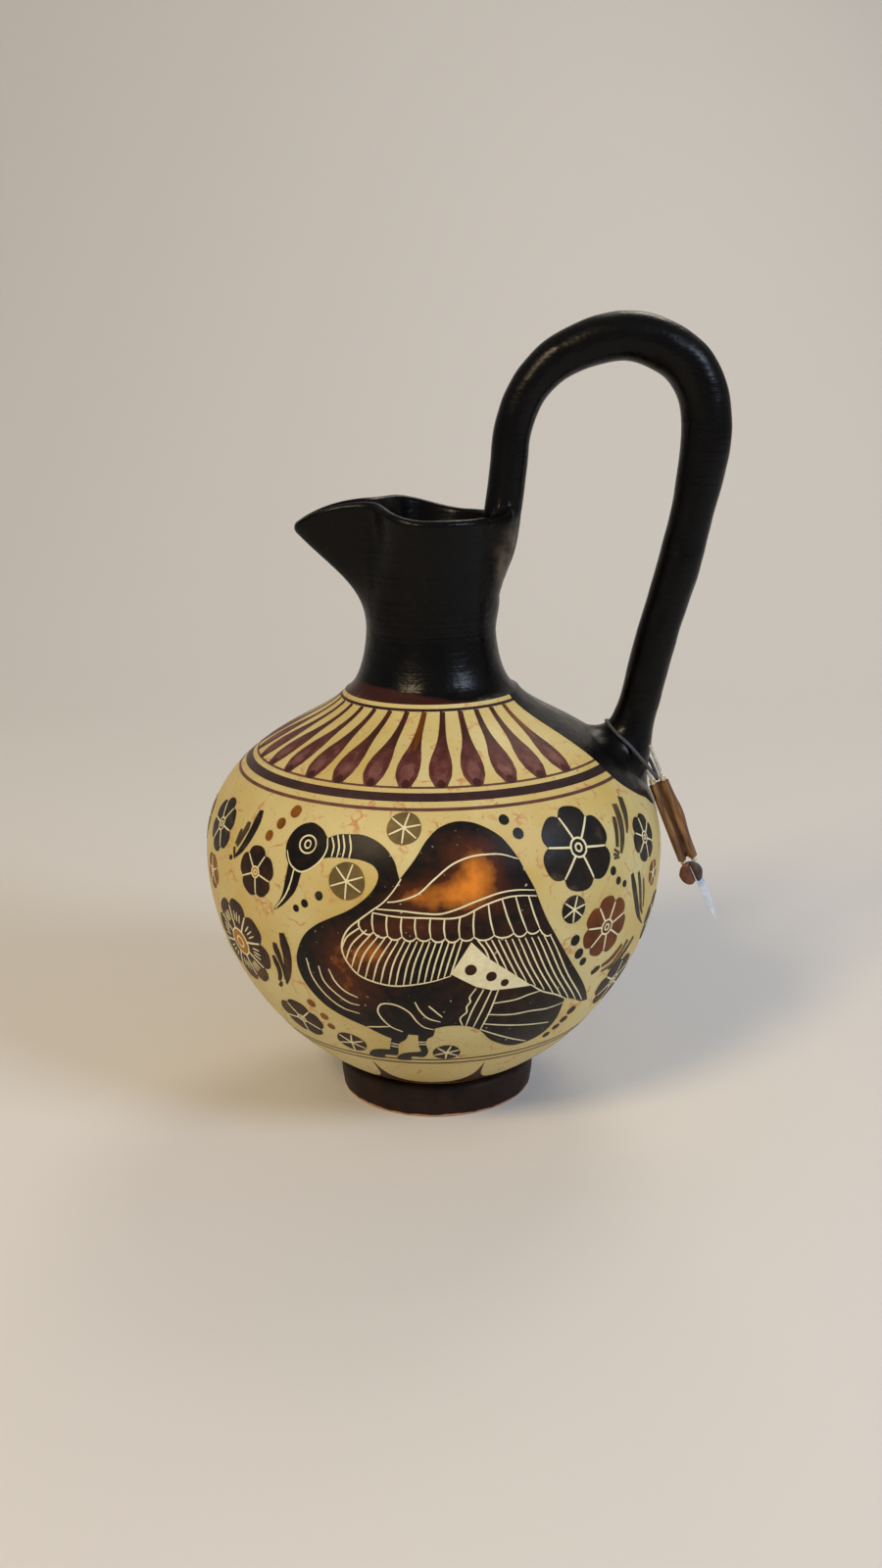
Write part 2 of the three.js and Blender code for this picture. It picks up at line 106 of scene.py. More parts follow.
def bezier(a: Flat, b: Flat, c: Flat, d: Flat, steps: int) -> list[Vector]:
    """Samples one cubic curve.

    Args:
        a: First end.
        b: First control point.
        c: Second control point.
        d: Last end.
        steps: Number of spans.

    Returns:
        The samples, both ends included.
    """
    ends = [Vector(point) for point in (a, b, c, d)]
    line = []
    for k in range(steps + 1):
        t = k / steps
        weights = ((1 - t) ** 3, 3 * t * (1 - t) ** 2, 3 * t * t * (1 - t), t ** 3)
        line.append(sum((p * w for p, w in zip(ends, weights)), Vector((0, 0))))
    return line


def lengths_along(line: Sequence[Vector]) -> list[float]:
    """Returns the length along a line at each of its points."""
    lengths = [0.0]
    for a, b in zip(line, line[1:]):
        lengths.append(lengths[-1] + (b - a).length)
    return lengths


def way_along(line: Sequence[Vector], i: int) -> Vector:
    """Returns the way that a line runs at one of its points."""
    return (line[min(i + 1, len(line) - 1)] - line[max(i - 1, 0)]).normalized()


def evenly(line: Sequence[Vector], spans: int) -> list[Vector]:
    """Spreads points along a line.

    Args:
        line: The line's own points.
        spans: Number of equal spans.

    Returns:
        One point more than spans, from the line's start to its end.
    """
    lengths = lengths_along(line)
    points, i = [], 1
    for k in range(spans + 1):
        goal = lengths[-1] * k / spans
        while i < len(line) - 1 and lengths[i] < goal:
            i += 1
        share = (goal - lengths[i - 1]) / max(lengths[i] - lengths[i - 1], 1e-12)
        points.append(line[i - 1].lerp(line[i], min(1.0, share)))
    return points


def towards(x: float, y: float, length: float, angle: float) -> Vector:
    """Returns the point that lies a length away from x, y at an angle in radians."""
    return Vector((x + length * math.cos(angle), y + length * math.sin(angle)))


def mix(low: float, high: float, share: float) -> float:
    """Returns the value at a share of the way from low to high."""
    return low + (high - low) * share


def ease(low: float, high: float, value: float) -> float:
    """Returns 0 below low and 1 above high, with a smooth step between."""
    t = min(1.0, max(0.0, (value - low) / (high - low)))
    return t * t * (3 - 2 * t)


def linear(code: str) -> tuple[float, float, float, float]:
    """Turns an sRGB hex colour to a linear one.

    Args:
        code: Six hex digits.

    Returns:
        Linear red, green and blue, and a full alpha.
    """
    parts = [int(code[i:i + 2], 16) / 255 for i in (0, 2, 4)]
    red, green, blue = (p / 12.92 if p <= 0.04045 else ((p + 0.055) / 1.055) ** 2.4 for p in parts)
    return red, green, blue, 1.0


def grey(value: float) -> tuple[float, float, float, float]:
    """Returns a linear grey for a ramp that carries a number."""
    return value, value, value, 1.0


class Surface:
    """A new material with its shader, its Object coordinates in millimetres and soft noise."""

    def __init__(self, name: str, **sockets: object) -> None:
        """Makes the material.

        Args:
            name: What the real material is.
            sockets: Constant values of the shader, with spaces written as low lines.
        """
        self.material = bpy.data.materials.new(name)
        self.material.use_nodes = True
        self.tree = self.material.node_tree
        self.shader = self.tree.nodes["Principled BSDF"]
        for key, value in sockets.items():
            self.shader.inputs[key.replace("_", " ")].default_value = value
        coordinates = self.add("TexCoord", out="Object")
        self.millimetres = self.add("VectorMath", {0: coordinates, "Scale": 1 / MM}, operation="SCALE")

    def add(self, kind: str, links: Links | None = None, out: str | int = 0, **settings: object) -> NodeSocket:
        """Adds a node with its settings and links.

        Args:
            kind: The node's type, without the word ShaderNode.
            links: Input names or numbers with a socket to link or a value to set.
            out: Name or number of the output that is wanted.
            settings: The node's own properties; stops are the places and colours of a ramp.

        Returns:
            That output.
        """
        made = self.tree.nodes.new("ShaderNode" + kind)
        for place, (position, colour) in enumerate(settings.pop("stops", [])):
            ramp = made.color_ramp.elements
            element = ramp[place] if place < 2 else ramp.new(position)
            element.position = position
            element.color = colour
        for name, value in settings.items():
            setattr(made, name, value)
        for name, value in (links or {}).items():
            if isinstance(value, NodeSocket):
                self.tree.links.new(value, made.inputs[name])
            else:
                made.inputs[name].default_value = value
        return made.outputs[out]

    def cloud(
        self, size: float, detail: float = 3.0, stretch: Flat = (1, 1, 1), lean: float = 0.0,
    ) -> NodeSocket:
        """Makes soft noise.

        Args:
            size: Width of a patch in millimetres.
            detail: How many finer layers it has.
            stretch: How much shorter its patches are along each axis.
            lean: Angle by which those axes are turned round Y.

        Returns:
            A number from 0 to 1.
        """
        links = {"Vector": self.millimetres, "Rotation": (0, lean, 0), "Scale": [size / s for s in stretch]}
        place = self.add("Mapping", links, vector_type="TEXTURE")
        return self.add("TexNoise", {"Vector": place, "Scale": 1.0, "Detail": detail})

    def wobble(self, size: float, detail: float, depth: float) -> NodeSocket:
        """Returns soft noise that swings round 0 by half a depth either way."""
        middle = self.add("Math", {0: self.cloud(size, detail), 1: 0.5}, operation="SUBTRACT")
        return self.add("Math", {0: middle, 1: depth}, operation="MULTIPLY")

    def dress(
        self, colour: NodeSocket, bumps: Sequence[tuple], roughness: NodeSocket | None = None,
    ) -> Material:
        """Links the patterns to the shader.

        Args:
            colour: Socket of the base colour.
            bumps: Pairs of a height socket and its depth in millimetres.
            roughness: Socket of the roughness, where it varies.

        Returns:
            The material.
        """
        self.tree.links.new(colour, self.shader.inputs["Base Color"])
        if roughness is not None:
            self.tree.links.new(roughness, self.shader.inputs["Roughness"])
        links: Links = {}
        for height, depth in bumps:
            links |= {"Height": height, "Distance": depth * MM, "Strength": 1.0}
            links["Normal"] = self.add("Bump", links)
        self.tree.links.new(links["Normal"], self.shader.inputs["Normal"])
        return self.material


@dataclass(frozen=True)
class BurnishedGround:
    """Burnished cream slip: yellow cream with rusty veins, faint specks and a soft satin."""

    cream: str = "cfc086"
    gold: str = "c4a95c"
    vein: str = "b9632c"
    speck: str = "8c6a35"
    patch: float = 24.0
    vein_spread: float = 9.0
    vein_width: float = 0.024
    grain: float = 0.5

    def build(self) -> Material:
        """Returns the ground's material."""
        s = Surface("burnished cream slip", Roughness=0.46, Specular_IOR_Level=0.3)
        stops = ((0.3, linear(self.gold)), (0.62, linear(self.cream)))
        tone = s.add("ValToRGB", {0: s.cloud(self.patch)}, stops=stops)
        ridge = s.add("Math", {0: s.cloud(self.vein_spread, 5.0), 1: 0.5}, operation="SUBTRACT")
        ridge = s.add("Math", {0: ridge}, operation="ABSOLUTE")
        line = s.add("ValToRGB", {0: ridge}, stops=((0.0, grey(1)), (self.vein_width, grey(0))))
        where = s.add("ValToRGB", {0: s.cloud(6.0, 2.0)}, stops=((0.49, grey(0)), (0.64, grey(0.8))))
        veins = s.add("Math", {0: line, 1: where}, operation="MULTIPLY")
        tone = s.add("Mix", {0: veins, 6: tone, 7: linear(self.vein)}, 2, data_type="RGBA")
        specks = s.add("ValToRGB", {0: s.cloud(0.9, 1.0)}, stops=((0.68, grey(0)), (0.76, grey(0.5))))
        tone = s.add("Mix", {0: specks, 6: tone, 7: linear(self.speck)}, 2, data_type="RGBA")
        turning = s.cloud(14.0, 2.0, (0.15, 0.15, 9.0))
        return s.dress(tone, [(s.cloud(self.grain), 0.03), (turning, 0.05)])


@dataclass(frozen=True)
class PaintedSlip:
    """Painted slip: thick where the brush stopped and warm and see-through where it is thin."""

    name: str
    thick: str
    mid: str
    thin: str
    patch: float = 5.0
    uneven: float = 0.35
    roughness: float = 0.42
    specks: bool = False
    sheen: float = 0.18
    fleck: str = "b9b2a0"

    def build(self) -> Material:
        """Returns the slip's material, which reads how thin each point is from the mesh."""
        s = Surface(self.name, Roughness=self.roughness, Specular_IOR_Level=self.sheen)
        thinness = s.add("Attribute", out="Fac", attribute_name="thin")
        brush = s.wobble(self.patch, 5.0, self.uneven * 2)
        depth = s.add("Math", {0: thinness, 1: brush}, operation="ADD")
        stops = ((0.0, linear(self.thick)), (0.45, linear(self.mid)), (1.0, linear(self.thin)))
        tone = s.add("ValToRGB", {0: depth}, stops=stops)
        if self.specks:
            flecks = s.add("ValToRGB", {0: s.cloud(1.0, 0.0)}, stops=((0.81, grey(0)), (0.85, grey(0.7))))
            tone = s.add("Mix", {0: flecks, 6: tone, 7: linear(self.fleck)}, 2, data_type="RGBA")
        return s.dress(tone, [(s.cloud(0.6), 0.02)])


@dataclass(frozen=True)
class BlackSlip:
    """Satin black slip: nearly black, red-brown at the neck's foot, grey-brown at its back from thin slip with
    a painted sheen of grazing light, and finely pitted.
    """

    black: str = "060505"
    rubbed: str = "3b1d18"
    # thin: colour of the patch at the neck's back, partly thin slip and partly a painted sheen of grazing
    # light
    thin: str = "6a5947"
    neck_foot: tuple[float, float, float] = (0.0, 0.0, 115.0)
    neck_reach: float = 30.0
    neck_base: float = 113.4
    wear_height: float = 115.0
    wear_tilt: float = 0.13
    wear_swing: float = 2.6
    wear_fade: float = 2.0
    # Middle, reach and right-hand edge of the painted sheen of grazing light, shown together with the thin
    # slip at the neck's back
    sheen_and_thin_centre: tuple[float, float, float] = (21.5, -4.0, 148.0)
    sheen_and_thin_reach: float = 20.0
    sheen_and_thin_limit: float = 15.6
    sheen_and_thin_fade: float = 2.6

    def build(self) -> Material:
        """Returns the black slip's material."""
        s = Surface("satin black slip", Specular_IOR_Level=0.14)
        x = s.add("SeparateXYZ", {0: s.millimetres}, "X")
        z = s.add("SeparateXYZ", {0: s.millimetres}, "Z")
        side = s.add("Math", {0: x, 1: self.wear_tilt}, operation="MULTIPLY")
        level = s.add("Math", {0: z, 1: side}, operation="ADD")
        level = s.add("Math", {0: level, 1: s.wobble(10.0, 2.0, self.wear_swing)}, operation="ADD")
        low = s.add("Math", {0: level, 1: self.wear_height - 1}, operation="SUBTRACT")
        low = s.add("Math", {0: low, 1: self.wear_fade}, operation="DIVIDE")
        low = s.add("ValToRGB", {0: low}, stops=((0.3, grey(0.9)), (0.7, grey(0))))
        away = s.add("VectorMath", {0: s.millimetres, 1: self.neck_foot}, "Value", operation="DISTANCE")
        near = s.add("Math", {0: away, 1: self.neck_reach}, operation="LESS_THAN")
        above = s.add("Math", {0: z, 1: self.neck_base}, operation="GREATER_THAN")
        near = s.add("Math", {0: near, 1: above}, operation="MULTIPLY")
        worn = s.add("Math", {0: low, 1: near}, operation="MULTIPLY")
        tone = s.add("Mix", {0: worn, 6: linear(self.black), 7: linear(self.rubbed)}, 2, data_type="RGBA")
        # Patch at the neck's back on its right side: thin slip with a painted sheen of grazing light
        away = s.add("VectorMath", {0: s.millimetres, 1: self.sheen_and_thin_centre}, "Value", operation="DISTANCE")
        away = s.add("Math", {0: away, 1: self.sheen_and_thin_reach}, operation="DIVIDE")
        back = s.add("ValToRGB", {0: away}, stops=((0.2, grey(0.75)), (0.55, grey(0))))
        patchy = s.add("ValToRGB", {0: s.cloud(4.0, 5.0)}, stops=((0.4, grey(0.2)), (0.62, grey(1))))
        back = s.add("Math", {0: back, 1: patchy}, operation="MULTIPLY")
        outer = s.add("Math", {0: x, 1: self.sheen_and_thin_limit}, operation="SUBTRACT")
        outer = s.add("Math", {0: outer, 1: self.sheen_and_thin_fade}, operation="DIVIDE")
        outer = s.add("ValToRGB", {0: outer}, stops=((0.0, grey(0)), (1.0, grey(1))))
        back = s.add("Math", {0: back, 1: outer}, operation="MULTIPLY")
        tone = s.add("Mix", {0: back, 6: tone, 7: linear(self.thin)}, 2, data_type="RGBA")
        gloss = s.add("ValToRGB", {0: s.cloud(7.0, 4.0)}, stops=((0.3, grey(0.22)), (0.7, grey(0.36))))
        turning = s.cloud(10.0, 2.0, (0.12, 0.12, 8.0))
        bumps = [(s.cloud(0.9, 4.0), 0.06), (s.cloud(5.0, 2.0), 0.2), (turning, 0.1)]
        return s.dress(tone, bumps, gloss)


@dataclass(frozen=True)
class FootSlip:
    """Matt brown-black slip on the foot, wiped off in a pale line at its lower edge."""

    dark: str = "170d09"
    brown: str = "2c1811"
    pale: str = "b98d6a"
    wiped: float = 0.75
    raggedness: float = 1.2

    def build(self) -> Material:
        """Returns the foot's material."""
        s = Surface("brown-black foot slip", Roughness=0.55, Specular_IOR_Level=0.2)
        stops = ((0.35, linear(self.dark)), (0.7, linear(self.brown)))
        tone = s.add("ValToRGB", {0: s.cloud(6.0, 4.0)}, stops=stops)
        height = s.add("SeparateXYZ", {0: s.millimetres}, "Z")
        level = s.add("Math", {0: height, 1: s.wobble(4.0, 3.0, self.raggedness)}, operation="ADD")
        bare = s.add("Math", {0: level, 1: self.wiped}, operation="LESS_THAN")
        tone = s.add("Mix", {0: bare, 6: tone, 7: linear(self.pale)}, 2, data_type="RGBA")
        return s.dress(tone, [(s.cloud(0.8), 0.04), (s.cloud(8.0, 2.0, (0.1, 0.1, 9.0)), 0.1)])


@dataclass(frozen=True)
class PlainStock:
    """Stock with one colour that varies: raw clay, incised lines, paper, wax, wire or cord."""

    name: str
    light: str
    dark: str
    grain: float
    roughness: float = 0.7
    metallic: float = 0.0
    depth: float = 0.03
    stretch: tuple[float, float, float] = (1, 1, 1)
    lean: float = 0.0

    def build(self) -> Material:
        """Returns the stock's material."""
        s = Surface(self.name, Roughness=self.roughness, Metallic=self.metallic)
        mottle = s.cloud(self.grain, 4.0, self.stretch, self.lean)
        stops = ((0.3, linear(self.dark)), (0.7, linear(self.light)))
        tone = s.add("ValToRGB", {0: mottle}, stops=stops)
        return s.dress(tone, [(mottle, self.depth)])


class Finish(Enum):
    """The finishes of the jug and its tag."""

    GROUND = BurnishedGround()
    BLACK = BlackSlip()
    FOOT = FootSlip()
    CLAY = PlainStock("raw buff clay", "b08a5e", "946f48", 3.0, 0.85, depth=0.06)
    INCISED = PlainStock("line cut through slip", "ebe3bb", "ddd2a2", 1.6, 0.6)
    FIGURE = PaintedSlip("figure slip", "0d0a08", "4a2410", "dc842a", 2.6, 0.26, 0.4, True)
    WINE = PaintedSlip("wine-purple slip", "3c2018", "572c26", "7e544c", 2.6, 0.5, 0.45)
    RUST = PaintedSlip("stem slip", "62360c", "824e12", "a66a1e", 3.0, 0.4, 0.45)
    BAND = PaintedSlip("purple-black band slip", "1d1416", "3a2626", "5a4038", 4.0, 0.3, 0.4)
    LINE = PaintedSlip("purple line slip", "4a2c24", "64403a", "866048", 4.0, 0.4, 0.45)
    DARK = PaintedSlip("dark rosette slip", "0f0c09", "221a13", "5a4e3c", 2.8, 0.6, 0.42)
    BROWN = PaintedSlip("brown rosette slip", "1c0f08", "391f0f", "6b431f", 2.8, 0.55, 0.45)
    RED = PaintedSlip("red-brown rosette slip", "52260a", "713a12", "985a22", 2.4, 0.4, 0.45)
    OCHRE = PaintedSlip("ochre heart slip", "a9701c", "b87f22", "cf9a3a", 2.0, 0.5, 0.5)
    BASE = PaintedSlip("red-brown base slip", "3c1a0c", "54260f", "7a4520", 3.0, 0.4, 0.45)
    WASH = PaintedSlip("grey-brown wash", "574729", "746136", "98854e", 2.4, 0.4, 0.5)
    BLADE = PaintedSlip("grey-brown blade slip", "2c2419", "4a3e2b", "6f6040", 2.4, 0.4, 0.45)
    PAPER = PlainStock("brown glazed paper", "8f673f", "3f2412", 1.6, 0.24, stretch=(2, 2, 0.25), lean=-0.376)
    WIRE = PlainStock("pale lacquered rod", "d6d3c8", "aaa69b", 1.2, 0.3, 0.3, 0.01)
    GILT = PlainStock("pale gilt collar", "e2d8b8", "b8a478", 0.8, 0.3, 0.4, 0.02)
    WAX = PlainStock("pressed brown wax", "7a4528", "42200f", 2.4, 0.42, depth=0.12)
    # Darker copy of the same wax for the seal's right lobe: painted shade for the lobe that faces away from
    # the light
    WAX_IN_PAINTED_SHADE = PlainStock("pressed wax in painted shade", "4d3a31", "2a1d18", 2.0, 0.5, depth=0.12)
    # The card is white; its blue-grey colours are painted blue shade on the side turned away from the light
    STRIP = PlainStock("white card in painted blue shade", "d3dcea", "b9c5da", 1.5, 0.65)
    ELASTIC = PlainStock("covered elastic", "4c4c51", "28282c", 0.7, 0.55, depth=0.12, stretch=(1, 1, 2))


def add_object(name: str, data: bpy.types.ID) -> bpy.types.Object:
    """Returns a new object of the scene that shows some data."""
    made = bpy.data.objects.new(name, data)
    bpy.context.scene.collection.objects.link(made)
    return made


def smooth_mesh(name: str, bm: BMesh) -> bpy.types.Mesh:
    """Returns a smooth-shaded mesh of a bmesh, which is used up."""
    mesh = bpy.data.meshes.new(name)
    bm.to_mesh(mesh)
    bm.free()
    mesh.polygons.foreach_set("use_smooth", [True] * len(mesh.polygons))
    return mesh


class Shop:
    """Makes each finish's material once and puts finished meshes on the model."""

    def __init__(self) -> None:
        """Starts with no material made."""
        self.made: dict[Finish, Material] = {}

    def material(self, finish: Finish) -> Material:
        """Returns a finish's material."""
        if finish not in self.made:
            self.made[finish] = finish.value.build()
        return self.made[finish]

    def place(
        self, name: str, bm: BMesh, finishes: Sequence[Finish], slot: str,
        body: str = JUG_BODY, stands_for: Sequence[str] = (), crease: float = 35.0,
    ) -> bpy.types.Object:
        """Turns a bmesh into a piece of the model.

        Args:
            name: The piece's name.
            bm: Its shape in metres, which is used up.
            finishes: The finishes of its material slots in order.
            slot: The record's material slot; not used.
            body: The body that it rides on.
            stands_for: CAD nodes that it stands for.
            crease: Angle in degrees past which an edge looks sharp.

        Returns:
            The piece.
        """
        mesh = smooth_mesh(name, bm)
        mesh.set_sharp_from_angle(angle=math.radians(crease))
        for finish in finishes:
            mesh.materials.append(self.material(finish))
        piece = add_object(name, mesh)
        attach(piece, body)
        if stands_for:
            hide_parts(*stands_for)
        LOG.info("%s: %d faces", name, len(mesh.polygons))
        return piece

    def paint(self, name: str, film: BMesh, finish: Finish, slot: str = "cream_slip") -> None:
        """Puts a film of painted slip on the jug."""
        self.place(name, film, [finish], slot, crease=60)


def chain(bm: BMesh, spots: Sequence[Flat], closed: bool = False) -> tuple[list, list]:
    """Adds a line of points to a mesh.

    Args:
        bm: The mesh.
        spots: The points.
        closed: Whether the line returns to its start.

    Returns:
        The new vertices and edges.
    """
    verts = [bm.verts.new(spot) for spot in spots]
    pairs = list(zip(verts, verts[1:] + verts[:1]))
    return verts, [bm.edges.new(pair) for pair in (pairs if closed else pairs[:-1])]


def pick(made: dict[str, list], kind: type) -> list:
    """Returns the elements of one kind among those that a mesh operator made."""
    return [item for item in made["geom"] if isinstance(item, kind)]


def smooth(bm: BMesh, verts: Sequence[BMVert], factor: float, passes: int) -> None:
    """Smooths some vertices of a mesh a few times."""
    axes = {"use_axis_x": True, "use_axis_y": True, "use_axis_z": True}
    for _ in range(passes):
        bmesh.ops.smooth_vert(bm, verts=verts, factor=factor, **axes)


def spun(spots: Sequence[Flat], steps: int, closed: bool = False) -> BMesh:
    """Spins a line once round the upright axis.

    Args:
        spots: The line's points.
        steps: Number of faces round the axis.
        closed: Whether the line returns to its start.

    Returns:
        The spun shape.
    """
    bm = bmesh.new()
    verts, edges = chain(bm, spots, closed)
    place = {"cent": (0, 0, 0), "axis": (0, 0, 1)}
    bmesh.ops.spin(bm, geom=verts + edges, angle=math.tau, steps=steps, use_merge=True, **place)
    return bm


def turned(profile: Sequence[Flat], steps: int) -> BMesh:
    """Spins a profile round the upright axis.

    Args:
        profile: Radius and height of each point in millimetres.
        steps: Number of faces round the axis.

    Returns:
        The closed shape in metres.
    """
    bm = spun([(radius * MM, 0, height * MM) for radius, height in profile], steps)
    bmesh.ops.remove_doubles(bm, verts=bm.verts[:], dist=0.002 * MM)
    bmesh.ops.recalc_face_normals(bm, faces=bm.faces[:])
    return bm


def swept(path: Sequence[Vector], radii: Sequence[float], sides: int, closed: bool = False) -> BMesh:
    """Sweeps a round section along a path.

    Args:
        path: The middle line in millimetres.
        radii: The section's radius at each point.
        sides: A quarter of the section's faces.
        closed: Whether the path returns to its start.

    Returns:
        The tube in metres.
    """
    curve = bpy.data.curves.new("path", "CURVE")
    curve.dimensions = "3D"
    curve.bevel_depth = MM
    curve.bevel_resolution = sides - 1
    curve.use_fill_caps = not closed
    line = curve.splines.new("POLY")
    line.points.add(len(path) - 1)
    line.use_cyclic_u = closed
    for point, place, radius in zip(line.points, path, radii):
        point.co = (*(place * MM), 1)
        point.radius = radius
    tube = add_object("path", curve)
    mesh = bpy.data.meshes.new_from_object(tube.evaluated_get(bpy.context.evaluated_depsgraph_get()))
    bm = bmesh.new()
    bm.from_mesh(mesh)
    bpy.data.objects.remove(tube)
    bpy.data.curves.remove(curve)
    bpy.data.meshes.remove(mesh)
    bmesh.ops.remove_doubles(bm, verts=bm.verts[:], dist=0.002 * MM)
    bmesh.ops.recalc_face_normals(bm, faces=bm.faces[:])
    return bm


def height_over(skin: BVHTree, spot: Vector) -> float:
    """Returns how far a spot is above a skin, or below it as a negative number."""
    hit, normal, _, _ = skin.find_nearest(spot)
    return (spot - hit).dot(normal)


@dataclass
class Wall:
    """The belly's outer line and the flat chart that its painting is laid out on.

    The chart's first number runs round the belly in millimetres of its widest ring, from the middle of
    the painted front, and its second one runs up the wall from the seat.
    """

    seat_radius: float = 25.2
    rise: float = 22.0
    rise_angle: float = 0.5
    widest_lift: float = 60.5
    lower_fullness: float = 26.6
    upper_fullness: float = 30.3
    shoulder_fall: float = 11.7
    shoulder_angle: float = 0.96
    front: float = -math.pi / 2
    steps: int = 60

    def __post_init__(self) -> None:
        """Works out the wall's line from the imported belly."""
        low, high = (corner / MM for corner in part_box("body"))
        self.base, self.top, self.girth_radius = low.z, high.z, high.x
        self.throat_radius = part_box("neck_and_mouth")[1].x / MM
        widest = self.base + self.widest_lift
        lower = bezier(
            (self.seat_radius, self.base), towards(self.seat_radius, self.base, self.rise, self.rise_angle),
            (self.girth_radius, widest - self.lower_fullness), (self.girth_radius, widest), self.steps,
        )
        upper = bezier(
            (self.girth_radius, widest), (self.girth_radius, widest + self.upper_fullness),
            towards(self.throat_radius, self.top, self.shoulder_fall, -self.shoulder_angle),
            (self.throat_radius, self.top), self.steps,
        )
        self.line = lower + upper[1:]
        self.lengths = lengths_along(self.line)

    def offset(self, distance: float) -> list[Vector]:
        """Returns the wall's line moved outwards along its own normal."""
        moved = []
        for i, p in enumerate(self.line):
            way = way_along(self.line, i)
            moved.append(p + Vector((way.y, -way.x)) * distance)
        return moved

    def at(self, up: float) -> tuple[Vector, Vector]:
        """Finds a place on the wall's line.

        Args:
            up: Length along the wall from the seat.

        Returns:
            Radius and height there, and the outward normal.
        """
        up = min(max(up, 0.0), self.lengths[-1])
        low, high = 0, len(self.lengths) - 1
        while high - low > 1:
            middle = (low + high) // 2
            low, high = (middle, high) if self.lengths[middle] <= up else (low, middle)
        share = (up - self.lengths[low]) / (self.lengths[high] - self.lengths[low])
        way = (self.line[high] - self.line[low]).normalized()
        return self.line[low].lerp(self.line[high], share), Vector((way.y, -way.x))

    def up_at(self, height: float) -> float:
        """Returns the length along the wall at a height."""
        for i, p in enumerate(self.line[1:]):
            if p.y >= height:
                share = (height - self.line[i].y) / (p.y - self.line[i].y)
                return mix(self.lengths[i], self.lengths[i + 1], share)
        return self.lengths[-1]

    def place(self, across: float, up: float, lift: float) -> Vector:
        """Lays a point of the chart on the belly.

        Args:
            across: Way round the belly on the chart.
            up: Way up the wall.
            lift: Height above the wall.

        Returns:
            The point in metres.
        """
        spot, normal = self.at(up)
        spot = spot + normal * lift
        angle = self.front + across / self.girth_radius
        return Vector((spot.x * math.cos(angle), spot.x * math.sin(angle), spot.y)) * MM

    def stretch(self, up: float) -> float:
        """Returns how much wider a shape is on the chart than on the belly at a place up the wall."""
        return self.girth_radius / self.at(up)[0].x

    def round_girth(self) -> float:
        """Returns the chart's whole width."""
        return math.tau * self.girth_radius


